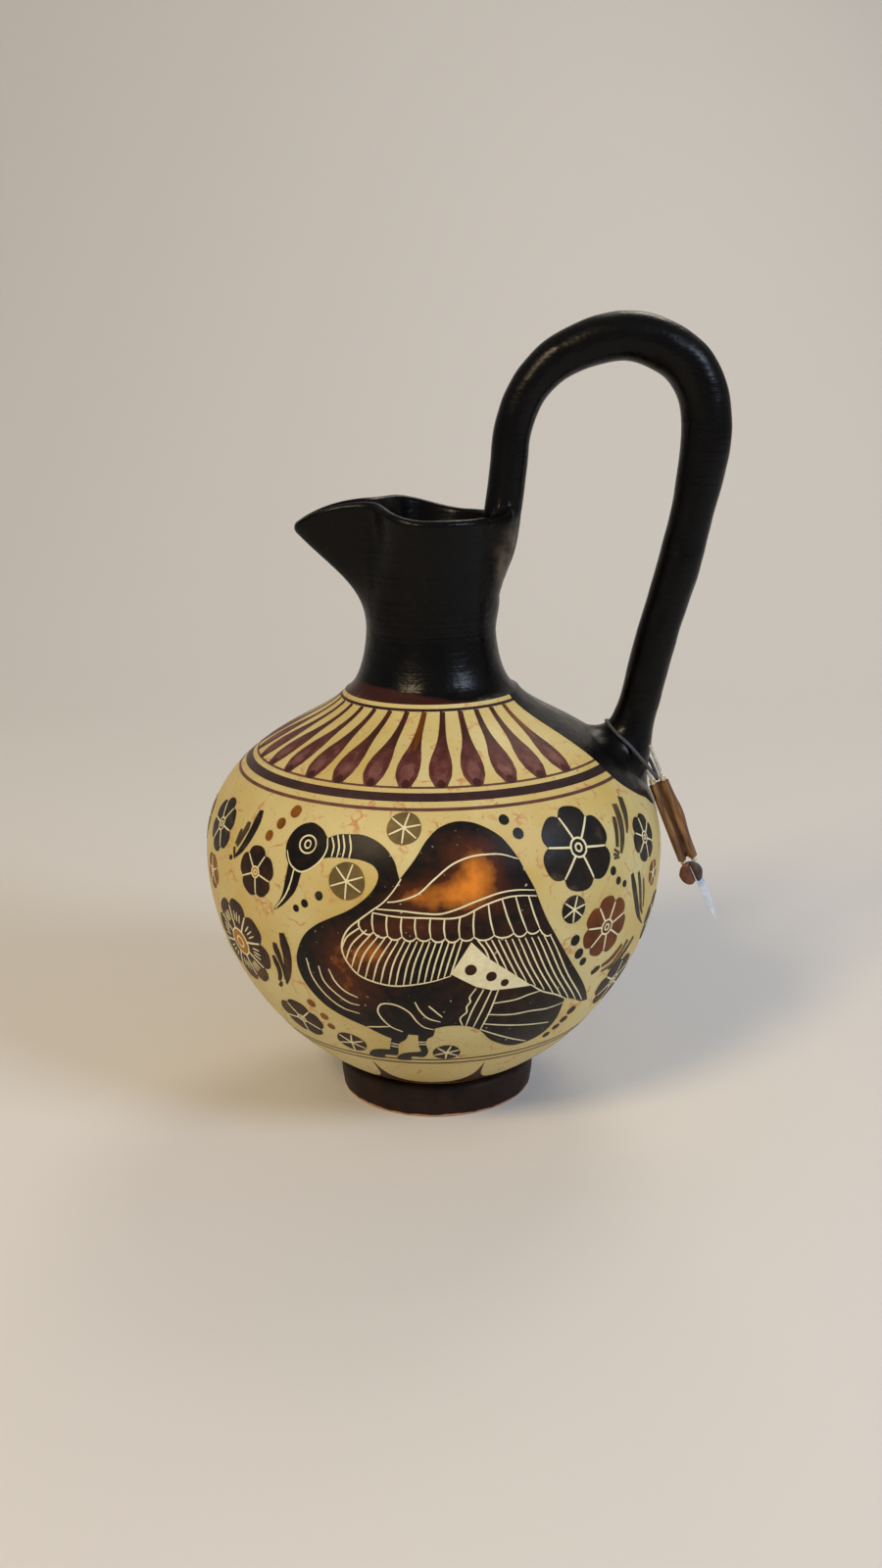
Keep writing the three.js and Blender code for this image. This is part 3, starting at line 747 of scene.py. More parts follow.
class Drawing:
    """Painted shapes on the chart, laid on the belly as one thin solid film."""

    cell = 2.4
    fine = 0.45
    even_thinness = 0.3
    unevenness = 0.05

    def __init__(self, wall: Wall, level: float = 0.0, film: float = 0.08) -> None:
        """Starts an empty drawing.

        Args:
            wall: The belly that it is laid on.
            level: Height of the film's underside above the wall in millimetres.
            film: The film's thickness.
        """
        self.wall = wall
        self.level = level
        self.film = film
        self.bm = bmesh.new()

    def _keep(self, part: BMesh) -> None:
        """Cuts a flat shape into cells that can follow the wall, and adds it to the drawing."""
        for axis in (0, 1):
            places = [v.co[axis] for v in part.verts]
            normal = (1, 0, 0) if axis == 0 else (0, 1, 0)
            for k in range(math.floor(min(places) / self.cell) + 1, math.ceil(max(places) / self.cell)):
                geometry = part.verts[:] + part.edges[:] + part.faces[:]
                spot = [c * k * self.cell for c in normal]
                bmesh.ops.bisect_plane(part, geom=geometry, plane_co=spot, plane_no=normal, dist=1e-5)
        mesh = bpy.data.meshes.new("shape")
        part.to_mesh(mesh)
        part.free()
        self.bm.from_mesh(mesh)
        bpy.data.meshes.remove(mesh)

    def fill(self, outline: Sequence[Flat]) -> None:
        """Adds a filled shape with this closed outline."""
        part = bmesh.new()
        _, edges = chain(part, [(p[0], p[1], 0) for p in outline], True)
        bmesh.ops.triangle_fill(part, use_beauty=True, edges=edges, normal=(0, 0, 1))
        self._keep(part)

    def brush(self, points: Sequence[Flat], widths: Sequence[float]) -> None:
        """Adds one stroke of a brush or a point.

        Args:
            points: Points that the stroke's middle passes through.
            widths: Its width at shares of its length, spread evenly.
        """
        line = spline(points, self.fine * 2)
        last = len(line) - 1
        sides: list[list[Vector]] = [[], []]
        for i, p in enumerate(line):
            way = way_along(line, i)
            place = i / last * (len(widths) - 1)
            low = min(int(place), len(widths) - 2)
            half = mix(widths[low], widths[low + 1], place - low) / 2
            stretch = self.wall.stretch(p.y)
            for side, sign in zip(sides, (1, -1)):
                side.append(p + Vector((-way.y * stretch, way.x)) * (half * sign))
        part = bmesh.new()
        bmesh.ops.create_grid(part, x_segments=last, y_segments=1, size=1)
        for v in part.verts:
            rail = sides[int(v.co.y > 0)]
            v.co = rail[round((v.co.x + 1) / 2 * last)].to_3d()
        self._keep(part)

    def blob(self, centre: Flat, size: Flat, lobes: int = 0, depth: float = 0.0, turn: float = 0.0) -> None:
        """Adds a round or lobed patch.

        Args:
            centre: Its middle on the chart.
            size: Its half width and half height in millimetres.
            lobes: Number of petals.
            depth: How deep the dips between petals are, as a share of the size.
            turn: Angle of the first dip.
        """
        self.fill(self.ring(centre, size, lobes, depth, turn))

    def ring(
        self, centre: Flat, size: Flat, lobes: int = 0, depth: float = 0.0, turn: float = 0.0,
    ) -> list[Vector]:
        """Returns the outline that blob fills, a little uneven as if drawn by hand."""
        stretch = self.wall.stretch(centre[1])
        count = max(14, math.ceil(math.tau * max(size) / (self.fine * 1.4)))
        outline = []
        for k in range(count):
            angle = math.tau * k / count
            reach = 1 - depth * (1 - abs(math.sin(lobes * (angle - turn) / 2))) ** 2 if lobes else 1.0
            uneven = noise.noise(Vector((math.cos(angle), math.sin(angle), centre[0] * 0.37 + centre[1])))
            reach *= 1 + self.unevenness * uneven
            x = centre[0] + size[0] * stretch * reach * math.cos(angle)
            outline.append(Vector((x, centre[1] + size[1] * reach * math.sin(angle))))
        return outline

    def lay(self, thin: Callable[[float, float], float] | None = None) -> BMesh:
        """Gives the drawing its thickness and lays it on the belly.

        Args:
            thin: How thin the slip is at a place on the chart, from 0 to 1.

        Returns:
            The film in metres.
        """
        bm = self.bm
        bmesh.ops.remove_doubles(bm, verts=bm.verts[:], dist=1e-4)
        made = bmesh.ops.extrude_face_region(bm, geom=bm.faces[:], use_keep_orig=True)
        bmesh.ops.translate(bm, verts=pick(made, BMVert), vec=(0, 0, self.film))
        bmesh.ops.recalc_face_normals(bm, faces=bm.faces[:])
        layer = bm.verts.layers.float.new("thin")
        for v in bm.verts:
            across, up, lift = v.co
            v[layer] = thin(across, up) if thin else self.even_thinness
            v.co = self.wall.place(across, up, lift + self.level)
        return bm


def glow(*spots: tuple[float, float, float, float, float]) -> Callable[[float, float], float]:
    """Makes a map of thin places.

    Args:
        spots: Middle, half width, half height and strength of each thin place on the chart.

    Returns:
        How thin the slip is at a place.
    """
    def thin(across: float, up: float) -> float:
        """Returns the thinness at a place on the chart."""
        total = 0.0
        for x, y, wide, high, strength in spots:
            total += strength * math.exp(-((across - x) / wide) ** 2 - ((up - y) / high) ** 2)
        return total
    return thin


@dataclass
class Belly:
    """The foot and the thrown belly, with the rings that were painted while it turned."""

    wall: Wall
    shop: Shop
    thickness: float = 4.2
    floor: float = 6.0
    foot_edge: float = 0.8
    foot_round: float = 1.4
    foot_inset: float = 0.6
    rays: int = 9
    first_ray: float = -25.0
    ray_foot: float = 2.4
    steps: int = 160

    def build(self) -> None:
        """Builds foot, body, rings and rays."""
        self.make_foot()
        self.make_body()
        self.make_rings()
        self.make_rays()

    def make_foot(self) -> None:
        """Turns the foot, up to the belly that stands on it."""
        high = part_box("foot")[1] / MM
        radius = high.x
        base = radius - self.foot_inset
        corner = high.z - self.foot_round
        edge = bezier((base - self.foot_edge, 0), (base - 0.2, 0), (base, 0.1), (base, self.foot_edge), 6)
        side = bezier((base, self.foot_edge), (base + 0.3, 3), (radius, 4), (radius, corner), 8)
        shoulder = bezier(
            (radius, corner), (radius, corner + 0.8), (radius - 0.6, high.z),
            (radius - self.foot_round, high.z), 8,
        )
        top = self.wall.base + 0.1
        profile = [(0, 0), *edge, *side[1:], *shoulder[1:], (self.wall.seat_radius - 0.4, top), (0, top)]
        bm = turned(profile, self.steps)
        self.shop.place("foot_turned", bm, [Finish.FOOT], "foot_slip", stands_for=["foot"])

    def make_body(self) -> None:
        """Turns the belly with its open throat, raw clay inside."""
        wall = self.wall
        throat = wall.throat_radius - 3.2
        floor = wall.base + self.floor
        inside = [p for p in wall.offset(-self.thickness) if p.y > floor + 1 and p.x > throat + 1]
        outside = [(0, wall.base), (wall.seat_radius * 0.5, wall.base), *wall.line]
        inner = [(throat, wall.top), *reversed(inside), (wall.seat_radius - 2, floor)]
        bm = turned([*outside, *inner, (wall.seat_radius * 0.5, floor), (0, floor)], self.steps)
        for face in bm.faces:
            spot = face.calc_center_median() / MM
            reach = math.hypot(spot.x, spot.y)
            outer = wall.at(wall.up_at(spot.z))[0].x
            face.material_index = int(reach < outer - self.thickness / 2)
        self.shop.place("body_thrown", bm, [Finish.GROUND, Finish.CLAY], "cream_slip", stands_for=["body"])

    def make_rings(self) -> None:
        """Lays the painted rings on the turning belly."""
        rings = (
            ("neck_line", 134.0, 134.8, Finish.BAND), ("tongue_line", 107.2, 107.8, Finish.LINE),
            ("shoulder_band", 103.3, 105.8, Finish.BAND), ("frieze_line", 100.6, 101.5, Finish.LINE),
            ("lower_line_high", 25.3, 25.9, Finish.LINE), ("lower_line_low", 23.2, 23.8, Finish.LINE),
        )
        for name, low, high, finish in rings:
            self.shop.paint(name, self.ring(low, high), finish)

    def ring(self, low: float, high: float) -> BMesh:
        """Returns a painted ring between two places on the wall, with a hand's small unevenness."""
        corners = [(low, -0.05), (low, 0.06), (mix(low, high, 0.5), 0.07), (high, 0.06), (high, -0.05)]
        bm = spun([self.wall.place(0, up, lift) for up, lift in corners], self.steps * 2, True)
        for v in bm.verts:
            sway = noise.noise(v.co * 40 + Vector((low, 0, 0))) * 0.1
            v.co.z += sway * MM * (v.co.to_2d().length / (self.wall.girth_radius * MM)) ** 4
        bmesh.ops.recalc_face_normals(bm, faces=bm.faces[:])
        layer = bm.verts.layers.float.new("thin")
        for v in bm.verts:
            v[layer] = 0.3 + 0.4 * noise.noise(v.co * 25)
        return bm

    def make_rays(self) -> None:
        """Paints the brown base with its rays, which leave cream arches between them."""
        pitch = self.wall.round_girth() / self.rays
        drawing = Drawing(self.wall, level=-0.03, film=0.09)
        arch = [(0, 22), (0.8, 16.5), (2.4, 12), (6, 8.2), (11, 6), (pitch / 2, 4.6)]
        for k in range(self.rays):
            left = self.first_ray + k * pitch
            rise = [(left + x, y) for x, y in arch]
            fall = [(left + pitch - x, y) for x, y in reversed(arch[:-1])]
            curve = spline(rise, 1.2)[:-1] + spline([rise[-1], *fall], 1.2)
            drawing.fill([Vector((left, self.ray_foot)), *curve, Vector((left + pitch, self.ray_foot))])
        self.shop.paint("base_rays", drawing.lay(glow()), Finish.BASE)


@dataclass
class Bird:
    """The water bird of the frieze: a filled figure, the lines cut through it and its reserved panel."""

    wall: Wall
    shop: Shop
    name: str
    shift: float = 0.0
    line_width: float = 0.42

    def outline(self) -> list[Vector]:
        """Returns the figure's closed outline, from the beak's tip under the neck and round to the head."""
        arcs = (
            ((-43.2, 71.9), (-41.1, 73.1), (-38.6, 75.2), (-35.9, 78.4), (-34.5, 83.1)),
            ((-34.5, 83.1), (-31.8, 84.2), (-28.9, 87.2)),
            ((-28.9, 87.2), (-26.4, 87.7), (-22.7, 87.9), (-18.2, 87.7), (-15, 86.5), (-13.8, 84.7),
             (-14.1, 82.5), (-15.9, 79.7), (-18.6, 77.2), (-21.8, 75), (-25.9, 72.9), (-30, 70.6),
             (-33.6, 67.5), (-36.1, 63.6), (-37.7, 59.3), (-37.5, 55), (-36.4, 51.8), (-34.3, 48.4),
             (-31.8, 45.7), (-28.6, 43.6), (-25, 41.8), (-20.9, 40), (-17.7, 38), (-13.9, 35.9)),
            ((-13.9, 35.9), (-15, 32.7), (-15.5, 30.4)),
            ((-15.5, 30.4), (-19.5, 30), (-22.3, 28.9), (-24.2, 26.4), (-23.6, 25.2), (-18.6, 25.2)),
            ((-18.6, 25.2), (-18.1, 27.2), (-15.9, 27.5), (-13.6, 27.7), (-12.6, 30.9), (-11.8, 33.9),
             (-9.5, 35.9), (-8.4, 38.2)),
            ((-8.4, 38.2), (-5.5, 38)),
            ((-5.5, 38), (-5.7, 33.2), (-5.3, 30.4), (-8.6, 29.6), (-11.8, 28.6), (-14, 26.4), (-13.6, 25.2),
             (-9.1, 25.2)),
            ((-9.1, 25.2), (-8.6, 27.3), (-4.5, 27.3), (-2.9, 30), (-3.4, 34.5), (-2.6, 36.6), (-1.1, 37.7),
             (-0.4, 40.9)),
            ((-0.4, 40.9), (3.1, 41.7), (8.7, 41.3), (12.6, 39.2), (16.4, 34.8), (19.8, 32.3), (24.8, 29.8),
             (30.3, 29.5), (34.8, 30.9), (37.6, 33.4), (39.1, 37.6), (38.9, 42), (38.6, 45.6)),
            ((38.6, 45.6), (43.7, 43.4), (46.7, 41.7), (50.6, 40.9)),
            ((50.6, 40.9), (45.3, 47.6), (40.9, 52.8), (37, 57.6), (33.1, 63.1), (30.3, 67.6), (28.1, 71.4),
             (25.9, 76.7), (24.8, 79.8), (23.1, 83.4), (21.4, 87.3), (19.8, 90.1), (17.6, 93.1), (14.2, 95.6),
             (10.3, 97.3), (5.9, 97.7), (1.4, 96.2), (-1.9, 93.1), (-4.7, 88.7), (-8.5, 83.6)),
            ((-8.5, 83.6), (-9.1, 85.6), (-9.8, 87.7), (-12.3, 90.9), (-15.5, 92.9), (-19.1, 93.9),
             (-22.7, 93.8), (-25.9, 93.4), (-28.6, 92.2)),
            ((-28.6, 92.2), (-30.8, 94.3), (-34.8, 95.5), (-38.8, 93.6), (-40.7, 89.7), (-40.1, 86.4),
             (-38.9, 84.5)),
            ((-38.9, 84.5), (-39.1, 82), (-40.2, 76.5), (-43.2, 71.9)),
        )
        line: list[Vector] = []
        for arc in arcs:
            line += spline(arc, 0.9)[:-1]
        return [p + Vector((self.shift, 0)) for p in line]

    def cuts(self) -> list[Sequence[Flat]]:
        """Returns the lines that are cut through the slip, each as the points that it passes."""
        eye = [(-34 + rx * math.cos(a), 90 + ry * math.sin(a)) for rx, ry in ((2.5, 2.2), (0.9, 1))
               for a in (math.tau * k / 12 for k in range(13))]
        wing_edge = [(-8.1, 83.8), (-9.8, 81.1), (-12.3, 78.1), (-15.5, 75.6), (-18.6, 73.1), (-20.9, 71.1),
                     (-22.5, 68.8), (-23.4, 66.1), (-23.2, 63.4), (-21.6, 60.2), (-19.8, 58.1), (-16.4, 56.5),
                     (-10.9, 55.5), (-5.5, 56.1), (-0.5, 57.2), (3.6, 58.6)]
        top_band = [(-14.1, 76.3), (-8.2, 76.1), (-2.3, 75.5), (1.4, 75.4), (5.5, 76.5), (9.6, 78),
                    (15.9, 79.7), (20.3, 79.9), (24.8, 79.3)]
        low_band = [(-15, 75.3), (-9.1, 74.6), (-2.3, 74.4), (4.1, 74.2), (6.8, 74.7), (12, 77), (17.6, 78.4),
                    (21.4, 78.4), (25.3, 77.8)]
        lines: list[Sequence[Flat]] = [eye[:13], eye[13:], wing_edge, top_band, low_band]
        lines += [
            [(-11.4, 78.1), (-9.1, 78.4), (-4.1, 80.2), (0, 83.8), (4.5, 87.2), (9.1, 88.8), (13.1, 89.1),
             (17, 88.8), (21.2, 87.3)],
            [(-36.8, 83.8), (-37.5, 80.2), (-39.1, 76.5), (-42.5, 72.5)],
            [(-28.6, 92.2), (-28.1, 89.7), (-29, 87.2), (-31.8, 84.4), (-35, 83.1), (-38.2, 84.5),
             (-40, 87.6)],
            [(-34.3, 60.6), (-33.6, 55), (-30.9, 50), (-26.8, 46.4), (-21.8, 45)],
            [(-30.9, 59), (-30.2, 54.5), (-26.8, 50.5), (-23.6, 48.4), (-21.1, 48.1)],
            [(-28, 58.6), (-26.8, 55), (-24.5, 52.3), (-21.1, 50.7)],
            [(-20.6, 40.1), (-13.6, 41.1)],
            [(-10, 39.3), (-13.2, 41.1), (-15.5, 44.3), (-16.1, 46.8), (-15, 49.1), (-12.7, 49.6),
             (-10, 48.9), (-7.3, 46.8), (-5.5, 43.6), (-3.6, 41.4), (-0.7, 40.4)],
            [(-5.6, 50.5), (-4.5, 47.7), (-2.3, 44.8), (1.1, 43.4)],
            [(-2, 49.2), (1.6, 45.2)],
            [(-14.6, 33.9), (-12, 33.3)], [(-14.9, 32.6), (-12.2, 32)],
            [(-5.8, 35), (-3.2, 34.9)], [(-5.8, 33.9), (-3.2, 33.9)],
            [(10.3, 54.4), (8.7, 51.4), (9.1, 50.3), (8.1, 48.4), (8.3, 46.7), (6.6, 44.5), (7.4, 41.7)],
            [(12.3, 53.9), (9.8, 47.3), (8.4, 41.5)], [(14.5, 53.6), (12.6, 47.3), (10.6, 40.6)],
            [(16.3, 53.4), (14.8, 46.4), (12.8, 39.2)],
            [(15.6, 48.9), (22, 49.2), (25.3, 50.1), (28.9, 50.6)],
            [(14.2, 45.1), (21.4, 43.9), (27.6, 43.9), (33.1, 43.4), (38.6, 43.9)],
            [(13.4, 41.7), (19.8, 40.1), (28.1, 38.4), (36.4, 37)],
            [(12.8, 39.5), (18.7, 36.2), (25.3, 32.8), (30.9, 30.3)],
            [(25.3, 53.4), (29.5, 50.3), (34.2, 48.1), (38.6, 45.5)],
        ]
        lines += self.collar() + self.coverts(low_band) + self.feathers(wing_edge)
        return lines

    def collar(self) -> list[Sequence[Flat]]:
        """Returns the stripes round the neck."""
        stripes = ((-27.4, 92.6), (-25.9, 93.3), (-24.4, 93.5), (-22.6, 93.7))
        return [[(x, y), (x + 1.1, 90.3), (x + 0.9, 87.8)] for x, y in stripes]

    def coverts(self, band: Sequence[Flat]) -> list[Sequence[Flat]]:
        """Returns the row of scales that hangs from a band of the wing."""
        hang = spline(band, 0.3)
        count = 13
        ends: list[tuple[Vector, Vector]] = []
        for i in range(count):
            across = mix(-18.4, 23.2, i / (count - 1))
            top = min(hang, key=lambda p: abs(p.x - across)).copy() if i else Vector((-18.4, 73))
            low = mix(71.2, 69.6, min(1, i / 2)) - 0.5 * ease(3, 6, i)
            ends.append((top, Vector((across + 3 * ease(8, 10, i), low))))
        bow = Vector((-0.25, 0))
        lines: list[Sequence[Flat]] = [[top, top.lerp(low, 0.5) + bow, low] for top, low in ends]
        last = Vector((29.4, 67.2))
        for (_, a), b in zip(ends, [low for _, low in ends[1:]] + [last]):
            dip = 1.0 + 0.15 * math.sin(3 * a.x)
            lines.append([a, a.lerp(b, 0.22) - Vector((0, dip * 0.75)), a.lerp(b, 0.5) - Vector((0, dip)),
                          a.lerp(b, 0.78) - Vector((0, dip * 0.75)), b])
        return lines

    def feathers(self, edge: Sequence[Flat]) -> list[Sequence[Flat]]:
        """Returns the long feathers under the scales: those of the near wing and the fan to its tip."""
        foot = spline(edge, 0.3)
        start = len(foot) * 0.44
        lines: list[Sequence[Flat]] = []
        near = 17
        for j in range(near):
            share = j / (near - 1)
            top = Vector((mix(-18.2, 6.4, share), mix(71.4, 68.4, min(1, share * 3))))
            low = foot[round(mix(start, len(foot) - 1, share ** 0.85))]
            bow = Vector((-1.2 * (1 - share), 0))
            lines.append([top, top.lerp(low, 0.5) + bow, low])
        ends = spline([(13.4, 62.5), (25.4, 53.6), (38.4, 45.9), (47, 42.2)], 0.3)
        far = 12
        for j in range(far):
            share = j / (far - 1)
            top = Vector((mix(10.2, 29.2, share), mix(68.2, 67, share)))
            low = ends[round((len(ends) - 1) * share ** 1.1)]
            bow = Vector((mix(0.3, -1.2, share), mix(0.2, -0.8, share)))
            lines.append([top, top.lerp(low, 0.5) + bow, low])
        return lines

    def build(self) -> None:
        """Lays the figure, its lines and its panel on the belly."""
        figure = Drawing(self.wall)
        figure.fill(self.outline())
        s = self.shift
        thin = glow((s + 11, 85, 5, 6.5, 0.66), (s + 8, 80, 7, 4.5, 0.5), (s, 79.5, 8, 4, 0.6),
                    (s - 7, 79, 5, 2.6, 0.35), (s + 7, 89, 5.5, 4.5, 0.32), (s - 25, 62, 4.5, 7, 0.46),
                    (s - 16, 64.5, 6, 6, 0.66), (s - 6, 72, 9, 3, 0.45), (s - 22, 52, 7, 6, 0.4),
                    (s + 18, 60, 15, 14, 0.2))
        self.shop.paint(self.name + "_figure", figure.lay(thin), Finish.FIGURE)
        lines = Drawing(self.wall, level=0.04, film=0.07)
        w = self.line_width
        for cut in self.cuts():
            lines.brush([Vector(p) + Vector((s, 0)) for p in cut], (w * 0.7, w, w, w, w * 0.55))
        panel = [(3.7, 59.2), (8.7, 67.8), (13.2, 62.9), (19.3, 58.1), (25.6, 53.1), (14.8, 53.3),
                 (10.3, 54.9)]
        lines.fill([Vector((x + s, y)) for x, y in panel])
        self.shop.paint(self.name + "_cut_lines", lines.lay(), Finish.INCISED)
        dots = Drawing(self.wall, level=0.1, film=0.06)
        for x, y, size in ((8.7, 60.1, 1.45), (14.1, 57.7, 1.35), (17.8, 55.3, 1.05)):
            dots.blob((x + s, y), (size, size * 1.05))
        self.shop.paint(self.name + "_panel_dots", dots.lay(), Finish.BROWN)


@dataclass(frozen=True)
class Rosette:
    """One painted flower: its place, size, petals, the ring at its heart and its slip."""

    across: float
    up: float
    size: float
    petals: int
    turn: float
    heart: float
    finish: Finish
    ochre_heart: bool = False
    dip: float = 0.2


@dataclass
class Frieze:
    """What fills the ground round the birds: rosettes, wheels, sprays and dots, and the tongues above."""

    wall: Wall
    shop: Shop
    rosettes: tuple[Rosette, ...] = (
        Rosette(39.2, 87.4, 10.9, 6, 0.9, 2.4, Finish.DARK),
        Rosette(48.1, 64.8, 8.3, 7, 1.19, 2.0, Finish.RED),
        Rosette(67.9, 83.4, 6.4, 6, 0.6, 1.5, Finish.DARK),
        Rosette(72.4, 72.6, 3.5, 5, 0.3, 0.9, Finish.RUST),
        Rosette(62.5, 43.5, 8.0, 6, 0.5, 1.8, Finish.BROWN),
        Rosette(-72.2, 87.6, 7.5, 6, 0.98, 1.7, Finish.DARK),
        Rosette(-50.0, 80.2, 6.6, 5, 1.0, 1.4, Finish.BROWN, True),
        Rosette(-61.3, 58.2, 12.4, 8, 0.22, 3.8, Finish.BROWN, True),
        Rosette(-45.4, 37.2, 7.0, 5, 0.75, 1.3, Finish.BROWN),
        Rosette(-74.7, 74.2, 4.8, 5, 0.4, 1.2, Finish.RUST),
        Rosette(-93.5, 84.0, 6.4, 6, 0.3, 1.6, Finish.DARK),
        Rosette(-93.0, 48.0, 10.0, 7, 0.5, 2.6, Finish.BROWN, True),
        Rosette(80.0, 58.0, 7.4, 6, 0.2, 1.7, Finish.BROWN),
    )
    wheels: tuple[tuple[float, float, float, Finish], ...] = (
        (36.0, 72.4, 3.6, Finish.DARK), (-28.7, 31.5, 4.1, Finish.BROWN), (3.2, 29.7, 3.5, Finish.BROWN),
        (-21.8, 82.4, 4.6, Finish.WASH), (-8.0, 96.2, 4.2, Finish.WASH),
    )
    dots: tuple[tuple[Finish, tuple[Flat, ...]], ...] = (
        (Finish.DARK, ((50.0, 79.2, 1.1), (51.9, 76.2, 1.0), (54.6, 74.7, 0.9))),
        (Finish.DARK, ((37.2, 63.8, 1.4), (39.2, 59.5, 1.4), (41.3, 56.6, 1.1))),
        (Finish.BROWN, ((44.7, 38.9, 1.4), (43.3, 35.8, 1.2), (41.6, 33.2, 1.1), (39.2, 30.4, 1.1))),
        (Finish.DARK, ((19.5, 97.3, 1.3), (22.6, 93.4, 1.4))),
        (Finish.RUST, ((-41.5, 97.5, 1.6), (-44.9, 93.7, 1.4), (-47.6, 90.0, 1.3))),
        (Finish.DARK, ((-29.1, 78.0, 1.1), (-33.2, 75.5, 1.0), (-35.8, 73.8, 0.9))),
        (Finish.RUST, ((-37.4, 45.3, 1.3), (-34.5, 41.1, 1.2), (-33.7, 37.3, 1.1))),
    )
    sprays: tuple[tuple[Finish, tuple[Flat, ...], Flat], ...] = (
        (Finish.DARK,
         ((-59.6, 82.1), (-57.4, 84.4), (-55.5, 87.4), (-54.5, 90.5), (-54.3, 93), (-54.6, 95.4)),
         (0.8, 1.7, 2.2, 2.6, 2.8, 1.5)),
        (Finish.BLADE, ((-59.8, 84.6), (-58.9, 86.2), (-58.1, 88.3), (-57.5, 90.4), (-57.6, 91.6)),
         (0.5, 1.1, 1.5, 2, 1.3)),
        (Finish.BLADE, ((-60.7, 85), (-60.1, 86.5), (-59.8, 88), (-59.7, 89.2)), (0.7, 1.2, 1.3, 0.8)),
        (Finish.BROWN, ((-61, 84.2), (-60.4, 82.6), (-59.9, 81.4)), (0.9, 1, 0.6)),
        (Finish.DARK, ((-62.8, 81), (-62, 81.2), (-61.2, 81.4)), (0.8, 1.5, 0.8)),
        (Finish.BLADE, ((53.1, 84.6), (54.6, 88.3), (55.9, 91.9)), (1.1, 1.3, 1.4, 1.2)),
        (Finish.BLADE, ((54.2, 82.7), (56.2, 86.1), (57.9, 90.2), (59.1, 94.8)), (0.8, 1.6, 1.9, 2.2, 2)),
        (Finish.BLADE, ((59, 86.8), (60.8, 89.6), (62.3, 92.8), (63.8, 95.8)), (0.5, 1.4, 2.3, 1.8)),
        (Finish.BLADE, ((53.4, 82.9), (51.7, 84.3)), (0.8, 0.7)),
        (Finish.BLADE, ((53, 82.4), (51, 83.2)), (0.5, 0.7)),
        (Finish.BLADE, ((53.1, 81.9), (51, 82.2)), (0.5, 0.7)),
        (Finish.DARK,
         ((69.3, 59.2), (66.3, 61.4), (63.8, 64), (61.7, 67.5), (60, 71.3), (58.8, 74.6), (58.4, 76.3)),
         (0.3, 0.8, 1.5, 1.9, 2, 2.1, 1.3)),
        (Finish.BLADE, ((67.2, 62.8), (65.3, 64.8), (63.9, 68.2), (62.8, 72.2), (61.9, 75.8)),
         (0.4, 1, 1.2, 1.3, 1)),
        (Finish.WASH, ((66.9, 64.8), (65.9, 69), (64.9, 73.2)), (0.5, 0.9, 0.8)),
        (Finish.BROWN, ((46.3, 51.4), (47.6, 52), (49.3, 52.6)), (1.4, 2.2, 1.1)),
        (Finish.RED, ((50.2, 52.5), (53.5, 53.3), (56.2, 55), (58, 56.6)), (1.1, 1.6, 1.8, 1.4)),
        (Finish.WASH, ((51, 50.6), (55.3, 51.3), (58.6, 53.6), (61, 57)), (0.8, 1.2, 1.5, 1.5)),
        (Finish.BLADE, ((54.5, 50), (58.5, 51), (61.7, 53.4), (64.9, 56.6)), (0.7, 1.2, 1.4, 1.2)),
        (Finish.BROWN, ((-44.4, 50), (-42.6, 53.4), (-41.5, 56.5), (-40.8, 60), (-41, 63.6), (-41.3, 66.1)),
         (0.5, 1.7, 2.4, 2.8, 3, 1.7)),
        (Finish.BROWN, ((-44.2, 51.5), (-43.6, 55), (-43.9, 58.5), (-44.5, 61.4), (-44.5, 62.6)),
         (0.4, 0.9, 1.5, 2.2, 1.3)),
        (Finish.BROWN, ((-47.2, 50.4), (-46.1, 52), (-45.5, 54.3), (-45.9, 57), (-46.2, 58.5)),
         (0.8, 1.3, 1.6, 1.9, 1.1)),
        (Finish.BROWN, ((-48.2, 48.3), (-47.2, 49), (-46.3, 50.2)), (0.8, 1.2, 0.6)),
    )
    layer_step: float = 0.012
    spokes: int = 6
    tongues: int = 33
    first_tongue: float = 2.6
    root_gap: float = 40.0

    def build(self) -> None:
        """Paints the filling of both sides and the ring of tongues."""
        half = self.wall.round_girth() / 2
        paint: dict[Finish, Drawing] = {}
        cuts = Drawing(self.wall, level=0.1, film=0.1)
        hearts = Drawing(self.wall, level=0.1, film=0.08)
        for shift in (0.0, half):
            for rosette in self.rosettes:
                self.flower(rosette, shift, paint, cuts)
                if rosette.ochre_heart:
                    hearts.blob((rosette.across + shift, rosette.up), [rosette.heart * 0.9] * 2)
            for across, up, size, finish in self.wheels:
                self.wheel((across + shift, up), size, self.drawing(paint, finish), cuts)
            for finish, row in self.dots:
                for across, up, size in row:
                    self.drawing(paint, finish).blob((across + shift, up), (size, size * 1.08))
            for finish, points, widths in self.sprays:
                self.drawing(paint, finish).brush([(x + shift, y) for x, y in points], widths)
        for finish, drawing in paint.items():
            name = "filling_" + finish.name.lower()
            self.shop.paint(name, drawing.lay(self.brushwork), finish)
        self.shop.paint("filling_cut_lines", cuts.lay(), Finish.INCISED)
        self.shop.paint("filling_hearts", hearts.lay(glow()), Finish.OCHRE)
        self.make_tongues()

    @staticmethod
    def brushwork(across: float, up: float) -> float:
        """Returns how thin the filling's slip is at a place, changing from stroke to stroke."""
        return 0.32 + 0.42 * noise.noise(Vector((across / 6, up / 6, 3.7)))

    def drawing(self, paint: dict[Finish, Drawing], finish: Finish) -> Drawing:
        """Returns the drawing that collects one finish."""
        if finish not in paint:
            paint[finish] = Drawing(self.wall, self.layer_step * len(paint))
        return paint[finish]

    @staticmethod
    def ray(angle: float, stretch: float) -> Vector:
        """Returns the way at an angle on the chart that is one long on the belly."""
        return Vector((math.cos(angle) * stretch, math.sin(angle)))

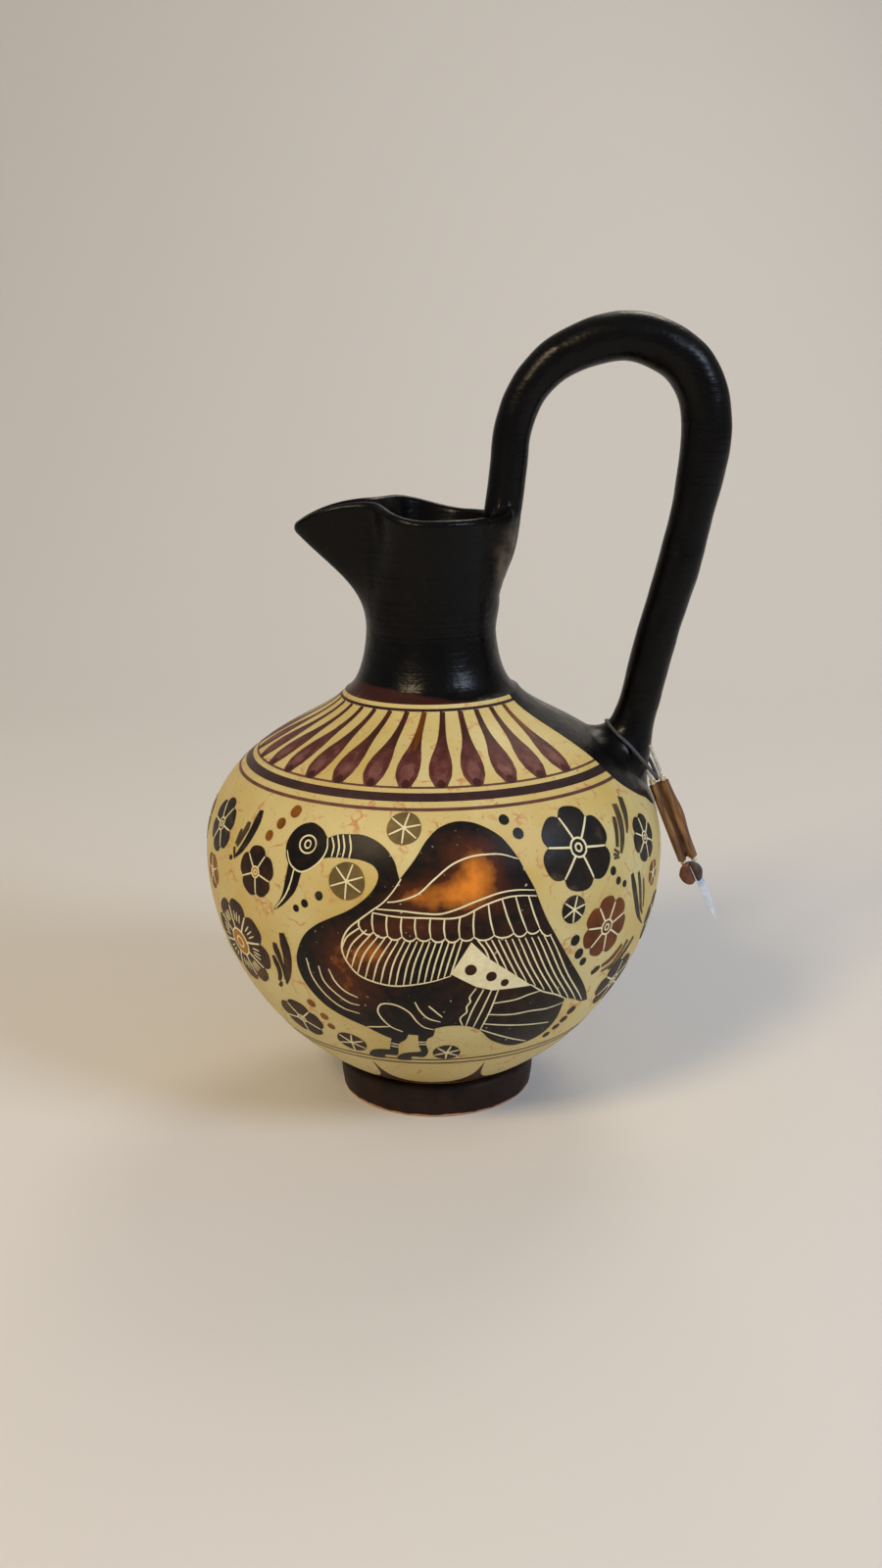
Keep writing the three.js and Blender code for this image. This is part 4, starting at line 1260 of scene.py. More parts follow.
    def flower(self, r: Rosette, shift: float, paint: dict[Finish, Drawing], cuts: Drawing) -> None:
        """Paints one rosette and cuts its petals and heart.

        Args:
            r: The rosette.
            shift: How far round the belly it is moved.
            paint: The drawings by finish.
            cuts: The drawing of cut lines.
        """
        centre = (r.across + shift, r.up)
        self.drawing(paint, r.finish).blob(centre, (r.size, r.size), r.petals, r.dip, r.turn)
        stretch = self.wall.stretch(r.up)
        width = mix(0.36, 0.54, ease(4, 11, r.size))
        for k in range(r.petals):
            angle = r.turn + math.tau * k / r.petals
            way = self.ray(angle, stretch)
            start = Vector(centre) + way * r.heart
            end = Vector(centre) + way * (r.size * (1 - r.dip) + 0.1)
            cuts.brush([start, end], (width, width, width * 0.8))
        for reach in (r.heart, r.heart * 0.42):
            circle = cuts.ring(centre, (reach, reach))
            cuts.brush([*circle[::2], circle[0]], (width, width * 0.85))
        if r.petals == 8:
            self.hatch(r, centre, stretch, cuts)

    def hatch(self, r: Rosette, centre: Flat, stretch: float, cuts: Drawing) -> None:
        """Cuts short strokes into the petals of the largest rosette."""
        for k in range(r.petals):
            for side in (-0.16, 0.0, 0.16):
                angle = r.turn + math.tau * (k + 0.5) / r.petals + side
                way = self.ray(angle, stretch)
                ends = [Vector(centre) + way * (r.size * reach) for reach in (0.5, 0.72)]
                cuts.brush(ends, (0.25, 0.4, 0.25))

    def wheel(self, centre: Flat, size: float, drawing: Drawing, cuts: Drawing) -> None:
        """Paints a small wheel and cuts its spokes."""
        drawing.blob(centre, (size, size))
        stretch = self.wall.stretch(centre[1])
        for k in range(self.spokes):
            angle = 0.35 + math.tau * k / self.spokes + 0.15 * math.sin(centre[0] + k)
            way = self.ray(angle, stretch)
            cuts.brush([Vector(centre), Vector(centre) + way * (size * 0.95)], (0.4, 0.42, 0.3))

    def make_tongues(self) -> None:
        """Paints the ring of tongues that hang from the neck's ring, each with a dark drop at its end."""
        girth = self.wall.round_girth()
        pitch = girth / self.tongues
        body, stems = Drawing(self.wall), Drawing(self.wall, 0.02)
        hearts, drops = Drawing(self.wall, 0.03), Drawing(self.wall, 0.05)
        for k in range(self.tongues):
            foot = self.first_tongue + k * pitch
            if abs(foot - girth / 4) < self.root_gap:
                continue
            sway = 0.5 * math.sin(2.1 * k)
            lean = 4.1 - 1.9 * math.sin(foot / self.wall.girth_radius) + sway * 0.4
            line = [(foot, 107.7), (foot + 0.1, 113), (foot + lean * 0.3, 120),
                    (foot + lean * 0.62 + sway * 0.3, 127), (foot + lean, 133.9)]
            body.brush(line, (3.0, 5.5, 5.8, 4.9, 3.3, 2.2, 1.7, 1.45, 1.3))
            if k % 7 == 4:
                stems.brush(line[2:], (0.6, 1.5, 1.5, 1.3))
            hearts.brush([(foot, 109.6), (foot + 0.1, 112.6), (foot + lean * 0.2, 118)], (1.8, 3.6, 2.6, 0.7))
            drops.brush([(foot + 0.1, 107.3), (foot + 0.1, 108.6), (foot, 109.9)], (1.4, 2.2, 0.8))
        self.shop.paint("tongues", body.lay(self.tongue_wash), Finish.WINE)
        self.shop.paint("tongue_stems", stems.lay(glow()), Finish.RUST)
        self.shop.paint("tongue_hearts", hearts.lay(self.heart_wash), Finish.WINE)
        self.shop.paint("tongue_drops", drops.lay(glow()), Finish.WINE)

    @staticmethod
    def tongue_wash(across: float, up: float) -> float:
        """Returns how thin a tongue's slip is: thickest in its stem."""
        return 0.45 + 0.3 * noise.noise(Vector((across / 3, up / 5, 9.1))) - 0.45 * ease(116, 128, up)

    @staticmethod
    def heart_wash(across: float, up: float) -> float:
        """Returns how thin the slip in the middle of a tongue's fat end is."""
        return 0.7 + 0.35 * noise.noise(Vector((across / 2, up / 4, 2.3))) - 0.3 * ease(113, 118, up)


@dataclass
class Neck:
    """The thrown neck with its mouth pulled out to a beak, pinched beside it and rounded at the lip."""

    wall: Wall
    shop: Shop
    thickness: float = 3.2
    waist_radius: float = 17.2
    waist_lift: float = 16.8
    sweep: float = 4.8
    sweep_angle: float = 0.42
    fullness: float = 10.5
    rim_radius: float = 20.0
    crest_lift: float = 4.0
    fall_start: float = 0.68
    fall_end: float = 1.83
    rim_skew: float = 0.3
    rim_slope: float = 1.36
    rim_reach: float = 9.0
    lip_bead: float = 1.45
    tip_bead: float = 2.0
    tip_drop: float = 5.0
    spout_angle: float = 0.26
    tip_angle: float = 0.166
    spout_slope: float = 0.82
    spout_curve: float = 12.9
    pinch_depth: float = 2.6
    pinch_place: float = 0.6
    pinch_spread: float = 0.4
    crowding: float = 0.68
    steps: int = 200

    def __post_init__(self) -> None:
        """Takes the mouth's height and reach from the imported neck."""
        low, high = (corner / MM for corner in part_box("neck_and_mouth"))
        self.spout_reach = -low.x
        self.base = self.wall.top + 0.02
        self.waist_height = self.wall.top + self.waist_lift
        self.rim_height = high.z - self.crest_lift

    def rim(self, angle: float) -> float:
        """Returns the lip's outer radius at an angle from the spout."""
        beak = math.exp(-((angle / self.spout_angle) ** 2))
        pinch = math.exp(-(((abs(angle) - self.pinch_place) / self.pinch_spread) ** 2))
        tip_pinch = math.exp(-((self.pinch_place / self.pinch_spread) ** 2))
        pull = self.spout_reach - self.rim_radius + self.pinch_depth * tip_pinch
        return self.rim_radius + pull * beak - self.pinch_depth * pinch

    def lip_top(self, angle: float) -> float:
        """Returns the lip's height at an angle from the spout."""
        dip = self.tip_drop * math.exp(-((angle / self.tip_angle) ** 2))
        fall = ease(self.fall_start, self.fall_end, abs(angle + self.rim_skew))
        return self.rim_height + self.crest_lift * (1 - fall) - dip

    def column(self, angle: float, outside_only: bool = False) -> list[Vector]:
        """Works out the neck's section at an angle from the spout.

        Args:
            angle: The angle in radians.
            outside_only: Whether to stop at the lip's inner edge.

        Returns:
            Radius and height of each point, up the outside, over the lip and down the inside.
        """
        reach = self.rim(angle)
        flare = min(1.0, max(0.0, (reach - self.rim_radius) / (self.spout_reach - self.rim_radius)))
        slope = mix(self.rim_slope, self.spout_slope, flare)
        pull = mix(self.rim_reach, self.spout_curve, flare)
        bead = mix(self.lip_bead, self.tip_bead, flare)
        lean, rise = math.sin(slope), math.cos(slope)
        edge = Vector((reach - bead * (1 - lean), self.lip_top(angle) - bead * (1 + rise)))
        foot = bezier(
            (self.wall.throat_radius, self.base),
            towards(self.wall.throat_radius, self.base, self.sweep, math.pi - self.sweep_angle),
            (self.waist_radius, self.waist_height - self.sweep), (self.waist_radius, self.waist_height), 12,
        )
        throat = bezier(
            (self.waist_radius, self.waist_height), (self.waist_radius, self.waist_height + self.fullness),
            towards(*edge, -pull, slope), edge, 24,
        )
        outside = foot + throat[1:]
        step = 0.01
        rate = (self.rim(angle + step) - self.rim(angle - step)) / (2 * step)
        depth = bead * math.hypot(1, rate / reach)
        lip = []
        for k in range(1, 10):
            turn = slope + math.pi * (k / 10 - 0.5)
            lip.append(edge + Vector((depth * (math.cos(turn) - lean), bead * (math.sin(turn) + rise))))
        last = len(outside) - 1
        walls = [mix(self.thickness, 2 * depth, (i / last) ** 2) for i in range(last + 1)]
        inside = [p - Vector((wall, 0)) for p, wall in zip(outside, walls)]
        return outside + lip if outside_only else outside + lip + inside[::-1]

    def pulled(self, outside_only: bool = False) -> BMesh:
        """Spins a straight tube and pulls it to the neck's form.

        Args:
            outside_only: Whether to make only the skin that the handle grows from.

        Returns:
            The neck in metres.
        """
        count = len(self.column(0.0, outside_only))
        bm = spun([(-1, 0, i) for i in range(count)], self.steps, not outside_only)
        columns: dict[float, list[Vector]] = {}
        for v in bm.verts:
            even = round(math.atan2(-v.co.y, -v.co.x), 5)
            angle = even - self.crowding * math.sin(even)
            if even not in columns:
                columns[even] = self.column(angle, outside_only)
            p = columns[even][round(v.co.z)]
            v.co = Vector((-p.x * math.cos(angle), -p.x * math.sin(angle), p.y)) * MM
        bmesh.ops.recalc_face_normals(bm, faces=bm.faces[:])
        return bm

    def finish(self, bm: BMesh) -> None:
        """Puts the neck on the model, with raw clay deep inside it."""
        for face in bm.faces:
            spot = face.calc_center_median() / MM
            inner = math.hypot(spot.x, spot.y) < self.waist_radius - self.thickness * 0.7
            face.material_index = int(inner and spot.z < self.waist_height)
        finishes = [Finish.BLACK, Finish.CLAY]
        self.shop.place("neck_pulled", bm, finishes, "black_slip", stands_for=["neck_and_mouth"])

    def skin(self) -> BVHTree:
        """Returns the neck's outside for settling the handle on it."""
        bm = self.pulled(True)
        tree = BVHTree.FromBMesh(bm)
        bm.free()
        return tree


@dataclass
class Handle:
    """The pulled handle, smoothed on to the neck and the shoulder, and the black slip round its root."""

    wall: Wall
    neck: Neck
    shop: Shop
    rim_section: float = 4.9
    crown_section: float = 6.5
    leg_section: float = 5.5
    root_section: float = 8.0
    sunk: float = 4.2
    root_drop: float = 19.7
    lift: float = 50.8
    reach: float = 78.0
    root_fillet: float = 6.5
    inner_spread: float = 1.9
    rim_fillet: float = 5.0
    melt: float = 9.0
    lip_melt: float = 4.5
    tuck: float = 0.8
    scan: float = 0.25
    joint_depth: float = 28.0
    joint_inner: float = 7.0
    joint_side: float = 18.0
    sunk_depth: float = 0.35
    sides: int = 56
    rows: int = 330
    waves: tuple[Flat, ...] = ((0.32, 17.0), (0.14, 5.5))

    def __post_init__(self) -> None:
        """Works out the handle's middle line and its lengths."""
        neck = self.neck
        rim, waist = neck.rim_height, neck.waist_height
        crown = rim + self.lift - self.crown_section
        outer = self.reach - mix(self.crown_section, self.leg_section, 0.4)
        root_height = self.wall.top - self.root_drop
        root_reach = self.wall.at(self.wall.up_at(root_height))[0].x
        points = [(neck.waist_radius - self.sunk, mix(waist, rim, 0.35)),
                  (neck.rim_radius - self.rim_section / 2, mix(waist, rim, 0.7))]
        rise = ((-0.012, 0.045), (0.014, 0.266), (0.037, 0.49), (0.112, 0.707), (0.28, 0.896), (0.6, 1))
        points += [(mix(neck.rim_radius, outer, a), mix(rim, crown, b)) for a, b in rise]
        over = ((0.85, 0.046), (0.954, 0.109), (1, 0.206))
        points += [(mix(neck.rim_radius, outer, a), mix(crown, root_height, b)) for a, b in over]
        fall = ((0.24, 0.47), (0.66, 0.748), (0.805, 0.862), (0.885, 0.913), (0.985, 0.973), (1.11, 1.045))
        points += [(mix(outer, root_reach, a), mix(crown, root_height, b)) for a, b in fall]
        self.line = spline([(x, 0, z) for x, z in points], 0.8)
        self.lengths = lengths_along(self.line)

    def section(self, share: float) -> float:
        """Returns the section's radius at a share of the handle's length."""
        keys = ((0, self.rim_section), (0.2, self.rim_section), (0.45, self.crown_section),
                (0.53, self.crown_section), (0.72, self.leg_section), (0.905, self.leg_section),
                (1, self.root_section))
        for (low, thin), (high, thick) in zip(keys, keys[1:]):
            if share <= high:
                return mix(thin, thick, ease(low, high, share))
        return self.root_section

    def thickness_at(self, i: int) -> float:
        """Returns the section's radius at a point of the middle line."""
        return self.section(self.lengths[i] / self.lengths[-1])

    @staticmethod
    def outward(way: Vector, turn: float) -> Vector:
        """Returns the way out of the handle at an angle from its outer side, where it runs a given way."""
        return Vector((-way.z * math.cos(turn), math.sin(turn), way.x * math.cos(turn)))

    def around(self, above: float, turn: float, lift: float) -> Vector:
        """Finds a point over the handle's skin.

        Args:
            above: Length along the handle from its lower end.
            turn: Angle round it from its outer side.
            lift: Height above its skin.

        Returns:
            The point in millimetres.
        """
        goal = self.lengths[-1] - above
        i = next(k for k, length in enumerate(self.lengths) if length >= goal)
        share = (goal - self.lengths[i - 1]) / (self.lengths[i] - self.lengths[i - 1])
        way = (self.line[i] - self.line[i - 1]).normalized()
        reach = self.section(goal / self.lengths[-1]) + lift
        return self.line[i - 1].lerp(self.line[i], share) + self.outward(way, turn) * reach

    def rod_line(self, turn: float) -> tuple[list[Vector], list[Vector]]:
        """Follows the handle's skin from the neck to the shoulder at one angle.

        Args:
            turn: Angle round the handle from its outer side.

        Returns:
            The line's points in metres, with the shallow waves that fingers leave, and its outward ways.
        """
        spots, ways = [], []
        for i, middle in enumerate(self.line):
            out = self.outward(way_along(self.line, i), turn)
            spot = middle + out * self.thickness_at(i)
            push = sum(depth * noise.noise(spot / width) for depth, width in self.waves)
            push *= ease(20, 40, self.lengths[i])
            spots.append((spot + out * push) * MM)
            ways.append(out)
        return spots, ways

    def land(
        self, spots: list[Vector], ways: list[Vector], skin: BVHTree, fillet: float, spread: float = 1.0,
    ) -> list[Vector]:
        """Bends the end of a line out along the skin that it runs into, as wet clay is smoothed down.

        Args:
            spots: The line's points in metres, of which the last ones are inside the skin.
            ways: The way out of the handle at each point.
            skin: The surface below.
            fillet: Size of the hollow between them in millimetres.
            spread: How much longer the hollow is along the skin than up the handle.

        Returns:
            The line with its new end, which goes a little way under the skin.
        """
        half = len(spots) // 2
        enter = next((i for i in range(half, len(spots)) if height_over(skin, spots[i]) < 0), None)
        if enter is None:
            return spots
        before, after = (height_over(skin, spot) for spot in spots[enter - 1:enter + 1])
        meet = spots[enter - 1].lerp(spots[enter], before / (before - after))
        _, normal, _, _ = skin.find_nearest(meet)
        reach = fillet * MM * abs((spots[enter] - spots[enter - 1]).normalized().dot(normal))
        start = next(i for i in range(enter, 0, -1) if height_over(skin, spots[i]) >= reach)
        out = (ways[enter] - normal * ways[enter].dot(normal)).normalized()
        hit, normal, _, _ = skin.find_nearest(meet + out * (reach * spread))
        end = hit - normal * (self.sunk_depth * MM)
        bend = []
        for k in range(15):
            t = k / 14
            bend.append(spots[start] * (1 - t) ** 2 + meet * (2 * t * (1 - t)) + end * t * t)
        return spots[:start] + bend + [end - normal * MM]

    def build(self) -> None:
        """Builds the handle, the neck that it melts into and the slip on the shoulder."""
        shoulder = turned([(0, self.wall.base), *self.wall.line, (0, self.wall.top)], 120)
        ground, collar = BVHTree.FromBMesh(shoulder), self.neck.skin()
        shoulder.free()
        lines = []
        for j in range(self.sides):
            turn = math.tau * j / self.sides
            spots, ways = self.rod_line(turn)
            upper = self.land(spots[::-1], ways[::-1], collar, self.rim_fillet)[::-1]
            ways = [ways[0]] * (len(upper) - len(ways)) + ways[max(0, len(ways) - len(upper)):]
            spread = mix(self.inner_spread, 1, (1 + math.cos(turn)) / 2)
            lines.append(evenly(self.land(upper, ways, ground, self.root_fillet, spread), self.rows))
        bm = bmesh.new()
        bmesh.ops.create_grid(bm, x_segments=self.rows, y_segments=self.sides, size=1)
        for v in bm.verts:
            row, side = round((v.co.x + 1) / 2 * self.rows), round((v.co.y + 1) / 2 * self.sides)
            v.co = lines[side % self.sides][row]
        bmesh.ops.remove_doubles(bm, verts=bm.verts[:], dist=0.002 * MM)
        bmesh.ops.holes_fill(bm, edges=bm.edges[:])
        bmesh.ops.recalc_face_normals(bm, faces=bm.faces[:])
        reach, top = 1.4 * self.neck.rim_radius * MM, self.neck.rim_height * MM * 1.05
        foot = [v for v in bm.verts if v.co.x < reach and v.co.z < top]
        smooth(bm, bm.verts[:], 0.3, 1)
        smooth(bm, foot, 0.3, 3)
        neck = self.neck.pulled()
        self.flow(bm, neck)
        self.neck.finish(neck)
        self.shop.place("handle_pulled", bm, [Finish.BLACK], "black_slip", stands_for=["handle"], crease=70)
        self.make_root_slip()

    def cover(self, tree: KDTree, spot: Vector, up: Vector) -> float:
        """Works out how far the neck's skin rises to flow over the handle's foot in a hollow.

        Args:
            tree: The points of the handle's middle line.
            spot: The place in millimetres.
            up: The neck's normal there.

        Returns:
            The rise in millimetres.
        """
        width = mix(self.lip_melt, self.melt, ease(0.3, 0.9, up.xy.length))

        def outside(rise: float) -> float:
            """Returns how far a raised point is outside neck and handle, melted together."""
            place = spot + up * rise
            middle, i, distance = tree.find(place)
            gap = distance - self.thickness_at(i)
            reach = max(0.05, width * up.cross((place - middle).normalized()).length)
            return min(rise, gap) - reach / 4 * max(0.0, 1 - abs(rise - gap) / reach) ** 2

        low = self.melt
        if outside(low) < 0:
            return 0.0
        while low > 0 and outside(low) >= 0:
            low -= self.scan
        high = low + self.scan
        for _ in range(6):
            half = (low + high) / 2
            low, high = (half, high) if outside(half) < 0 else (low, half)
        _, i, distance = tree.find(spot)
        under = ease(0.5, -1, distance - self.thickness_at(i))
        return max(0.0, high - self.tuck * under * ease(0.15, 0.6, up.z))

    def near_joint(self, neck: BMesh, inset: float) -> list[BMVert]:
        """Returns the neck's vertices round the handle's foot, without a border of some millimetres."""
        low = self.neck.rim_height - self.joint_depth + inset
        inner, side = self.joint_inner + inset, self.joint_side - inset
        near = [v for v in neck.verts if v.co.z / MM > low and v.co.x / MM > inner]
        return [v for v in near if abs(v.co.y / MM) < side]

    def flow(self, bm: BMesh, neck: BMesh) -> None:
        """Draws the neck's skin over the handle's foot, as clay is smeared over a joint.

        Args:
            bm: The handle in metres, which is sunk a little under that skin.
            neck: The neck in metres.
        """
        tree = KDTree(len(self.line))
        for i, p in enumerate(self.line):
            tree.insert(p, i)
        tree.balance()
        near = set(self.near_joint(neck, 0))
        edges = [edge for edge in neck.edges if near.issuperset(edge.verts)]
        bmesh.ops.subdivide_edges(neck, edges=edges, cuts=3, use_grid_fill=True)
        smooth(neck, self.near_joint(neck, 1), 0.5, 5)
        neck.normal_update()
        low, reach = self.neck.rim_height - self.joint_depth - 2, self.rim_section + self.melt
        moves = []
        for v in neck.verts:
            spot = v.co / MM
            share = ease(-0.9, -0.2, v.normal.x)
            if share > 0 and spot.z > low and tree.find(spot)[2] < reach:
                moves.append((v, v.normal * (self.cover(tree, spot, v.normal) * share * MM)))
        for v, move in moves:
            v.co += move
        smooth(neck, [v for v, move in moves if move.length > 0.02 * MM], 0.5, 4)
        self.sink(bm, tree)

    def sink(self, bm: BMesh, tree: KDTree) -> None:
        """Sinks the handle's foot a little under the skin that covers it.

        Args:
            bm: The handle in metres.
            tree: The points of its middle line.
        """
        rim = self.neck.rim_height
        for v in bm.verts:
            spot = v.co / MM
            out = (spot - tree.find(spot)[0]).normalized()
            if spot.x < 1.5 * self.neck.rim_radius:
                depth = self.sunk_depth / 2 * ease(rim + 1, rim - 4, spot.z) * ease(-0.3, 0.3, out.x)
                v.co -= out * (depth * MM)

    def make_root_slip(self) -> None:
        """Paints the black slip that runs from the neck down round the handle's root."""
        middle = self.wall.girth_radius * math.pi / 2
        side = [(31.5, 136), (30, 125), (29.5, 110), (29.5, 102), (27.5, 98), (21.7, 93.5), (16.5, 91),
                (12, 88), (0, 85.6)]
        right = spline([(middle - x, y) for x, y in side], 1.5)
        left = [Vector((2 * middle - p.x, p.y)) for p in reversed(right[:-1])]
        drawing = Drawing(self.wall, film=0.16)
        drawing.fill(right + left)
        self.shop.paint("root_slip", drawing.lay(), Finish.BLACK, "black_slip")


@dataclass
class Tag:
    """The rolled paper tag: its cord round the handle, two rods, the sheet, the seal and the white strip."""

    handle: Handle
    shop: Shop
    lean: float = 0.376
    cord_radius: float = 0.5
    cord_high: float = 13.1
    cord_low: float = 6.1
    cord_slack: float = 3.4
    cord_before: float = 2.7
    gap: float = 0.3
    rod_radius: float = 0.45
    rod_spacing: float = 2.9
    knob_radius: float = 0.8
    collar_radius: float = 0.8
    collar_height: float = 1.5
    rod_above: float = 9.5
    rod_step: float = 6.2
    roll_start: float = 1.2
    roll_length: float = 22.8
    paper: float = 0.2
    pitch: float = 0.3
    inner_turns: float = 1.3
    outer_turns: float = 1.6
    flap: float = 0.7
    flap_drop: float = 11.0
    flap_spread: float = 5.0
    seal_radius: float = 3.2
    seal_thickness: float = 1.6
    seal_drop: float = 3.5
    seal_aside: float = 0.6
    crease: float = 0.35
    strip_width: float = 2.45
    strip_length: float = 19.2
    strip_thickness: float = 0.4
    strip_point: float = 7.6

    def __post_init__(self) -> None:
        """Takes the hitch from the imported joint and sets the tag's own frame there."""
        swing = next(joint for joint in frame["joints"] if joint["name"] == "tag_swing")
        self.hitch = Vector(swing["pos_m"]) / MM
        self.frame = Matrix.Translation(self.hitch * MM) @ Euler((0, -self.lean, 0)).to_matrix().to_4x4()
        self.rolls_end = -self.roll_start - self.roll_length
        self.strip_face = -self.knob_radius - self.gap
        self.seal_face = self.strip_face - self.strip_thickness - self.gap

    def build(self) -> None:
        """Builds the cord and the pieces that hang on it."""
        self.make_cord()
        self.make_rods()
        self.make_sheet()
        self.make_seal()
        self.make_strip()

    def hang(self, name: str, bm: BMesh, finishes: Sequence[Finish], slot: str, node: str) -> None:
        """Moves a piece from the tag's own frame to its place and hangs it there."""
        bmesh.ops.transform(bm, matrix=self.frame, verts=bm.verts[:])
        self.shop.place(name, bm, finishes, slot, TAG_BODY, [node])

    def make_cord(self) -> None:
        """Lays the elastic loop slanting round the handle's foot and through between the rods."""
        lift = self.cord_radius + self.gap
        points = []
        for turn in (0.55, 1, 1.57, 2.2, 2.8, -2.8, -2.2, -1.57):
            above = mix(self.cord_high, self.cord_low, (1 + math.cos(turn)) / 2)
            points.append(self.handle.around(above, turn, lift))
        through = (
            (self.cord_radius - self.rod_spacing / 2, -self.cord_before, 2 * lift), (0, 0, 0),
            (self.cord_radius / 2, self.cord_slack, self.cord_radius),
        )
        points += [self.hitch + Vector(p) for p in through]
        route = spline(points, 0.4, True)
        bm = swept(route, [self.cord_radius] * len(route), 4, True)
        self.shop.place("tag_elastic", bm, [Finish.ELASTIC], "cord", stands_for=["tag_cord"])

    def make_rods(self) -> None:
        """Turns the two rods with their little knobs and collars."""
        below = -self.rolls_end + self.gap
        knob, collar, rod = self.knob_radius, self.collar_radius, self.rod_radius
        seat = 0.1 - self.roll_start
        top = seat + self.collar_height
        rods = (("inner", -0.5, self.rod_above - self.rod_step), ("outer", 0.5, self.rod_above))
        for name, side, above in rods:
            ball = [towards(0, -below - knob * 0.75, knob, math.pi * (k / 10 - 0.5)) for k in range(9)]
            profile = [(0, -below - knob * 1.75), *ball[1:], (rod, -below + 0.4), (rod, seat),
                       (collar, seat + 0.15), (collar, top - 0.15), (rod, top), (rod, above - 0.25),
                       (rod * 0.7, above - 0.06), (0, above)]
            bm = turned(profile, 24)
            for face in bm.faces:
                height = face.calc_center_median().z / MM
                face.material_index = int(height < -below + 0.4 or seat < height < top)
            bmesh.ops.translate(bm, verts=bm.verts[:], vec=(side * self.rod_spacing * MM, 0, 0))
            self.hang("tag_wire_" + name, bm, [Finish.WIRE, Finish.GILT], "rod_metal", "tag_rod_" + name)

    def make_sheet(self) -> None:
        """Rolls one sheet up from both ends on the rods."""
        start = self.rod_radius + self.gap / 2 + self.paper / 2
        steps = 30

        def wind(centre: float, turns: float, way: int) -> list[Vector]:
            """Returns one roll's line, from its outer edge to the rod."""
            line = []
            for i in range(round(turns * steps) + 1):
                angle = way * math.tau * i / steps - math.pi / 2
                radius = start + self.pitch * (turns - i / steps)
                line.append(Vector((centre + radius * math.cos(angle), -radius * math.sin(angle))))
            return line

        half = self.rod_spacing / 2
        line = wind(-half, self.inner_turns, -1)[::-1] + wind(half, self.outer_turns, 1)
        bm = bmesh.new()
        _, edges = chain(bm, [(p.x * MM, p.y * MM, -self.roll_start * MM) for p in line])
        rows = 24
        for _ in range(rows):
            made = bmesh.ops.extrude_edge_only(bm, edges=edges)
            low, edges = pick(made, BMVert), pick(made, BMEdge)
            bmesh.ops.translate(bm, verts=low, vec=(0, 0, -self.roll_length / rows * MM))
        outer = half + start + self.pitch * (self.outer_turns - 1)
        for v in bm.verts:
            x, _, z = v.co / MM
            loose = ease(outer - 0.3, outer + 0.25, x)
            loose *= math.exp(-(((z + self.flap_drop) / self.flap_spread) ** 2))
            v.co.x += self.flap * loose * MM
        bmesh.ops.solidify(bm, geom=bm.faces[:], thickness=self.paper * MM)
        bmesh.ops.recalc_face_normals(bm, faces=bm.faces[:])
        self.hang("tag_paper_roll", bm, [Finish.PAPER], "scroll_paper", "tag_scroll")

    def make_seal(self) -> None:
        """Presses a drop of wax into two lobes, with the strip's edge in the crease between them; the right
        lobe is coloured darker as painted shade.
        """
        r, t = self.seal_radius, self.seal_thickness
        dome = ((0.86, 0), (1, 0.35), (0.93, 0.75), (0.66, 1), (0.3, 1.04), (0, 1))
        bm = turned([(0, 0), *spline([(r * out, t * up) for out, up in dome], 0.2)], 56)
        for v in bm.verts:
            x, y, _ = spot = v.co / MM
            crease = math.exp(-(((x - self.crease) / 0.5) ** 2))
            v.co.xy *= 1 + 0.08 * noise.noise(spot * 0.5) - 0.14 * crease * ease(0, -r, y)
            v.co.z *= 1 - 0.5 * crease
        # The right lobe takes the darker copy of the wax: painted shade, not a second wax
        for face in bm.faces:
            face.material_index = int(face.calc_center_median().x > self.crease * MM)
        bmesh.ops.rotate(bm, verts=bm.verts[:], matrix=Matrix.Rotation(math.pi / 2, 3, "X"))
        place = Vector((-self.seal_aside, self.seal_face, self.rolls_end - self.seal_drop))
        bmesh.ops.translate(bm, verts=bm.verts[:], vec=place * MM)
        self.hang("tag_wax_seal", bm, [Finish.WAX, Finish.WAX_IN_PAINTED_SHADE], "seal_wax", "tag_seal")

    def make_strip(self) -> None:
        """Cuts the white strip with its slanted point and the fold of its edge between the seal's lobes."""
        top = self.rolls_end - self.seal_drop + self.seal_radius * 0.85
        end = top - self.strip_length
        w, point = self.strip_width, self.strip_point
        outline = [(-0.14 * w, top), (0.04 * w, end + 0.83 * point), (0.46 * w, end), (0.86 * w, end + point),
                   (0.8 * w, top - self.seal_radius / 2), (0.35 * w, top)]
        low = top - 1.9 * self.seal_radius
        fold = [(-0.16 * w, top - 0.7), (-0.08 * w, low), (0.05 * w, low), (-0.12 * w, top - 0.7)]
        front = self.strip_face - self.strip_thickness - self.gap - self.seal_thickness * 0.75
        bm = bmesh.new()
        for points, depth in ((outline, self.strip_thickness), (fold, self.strip_face - front)):
            face = bm.faces.new([bm.verts.new((x * MM, self.strip_face * MM, z * MM)) for x, z in points])
            made = bmesh.ops.extrude_face_region(bm, geom=[face], use_keep_orig=True)
            bmesh.ops.translate(bm, verts=pick(made, BMVert), vec=(0, -depth * MM, 0))
        bmesh.ops.recalc_face_normals(bm, faces=bm.faces[:])
        bmesh.ops.bevel(
            bm, geom=bm.edges[:], offset=0.05 * MM, affect="EDGES", segments=2, profile=0.5, material=-1,
        )
        self.hang("tag_card_strip", bm, [Finish.STRIP], "ribbon_paper", "tag_ribbon")


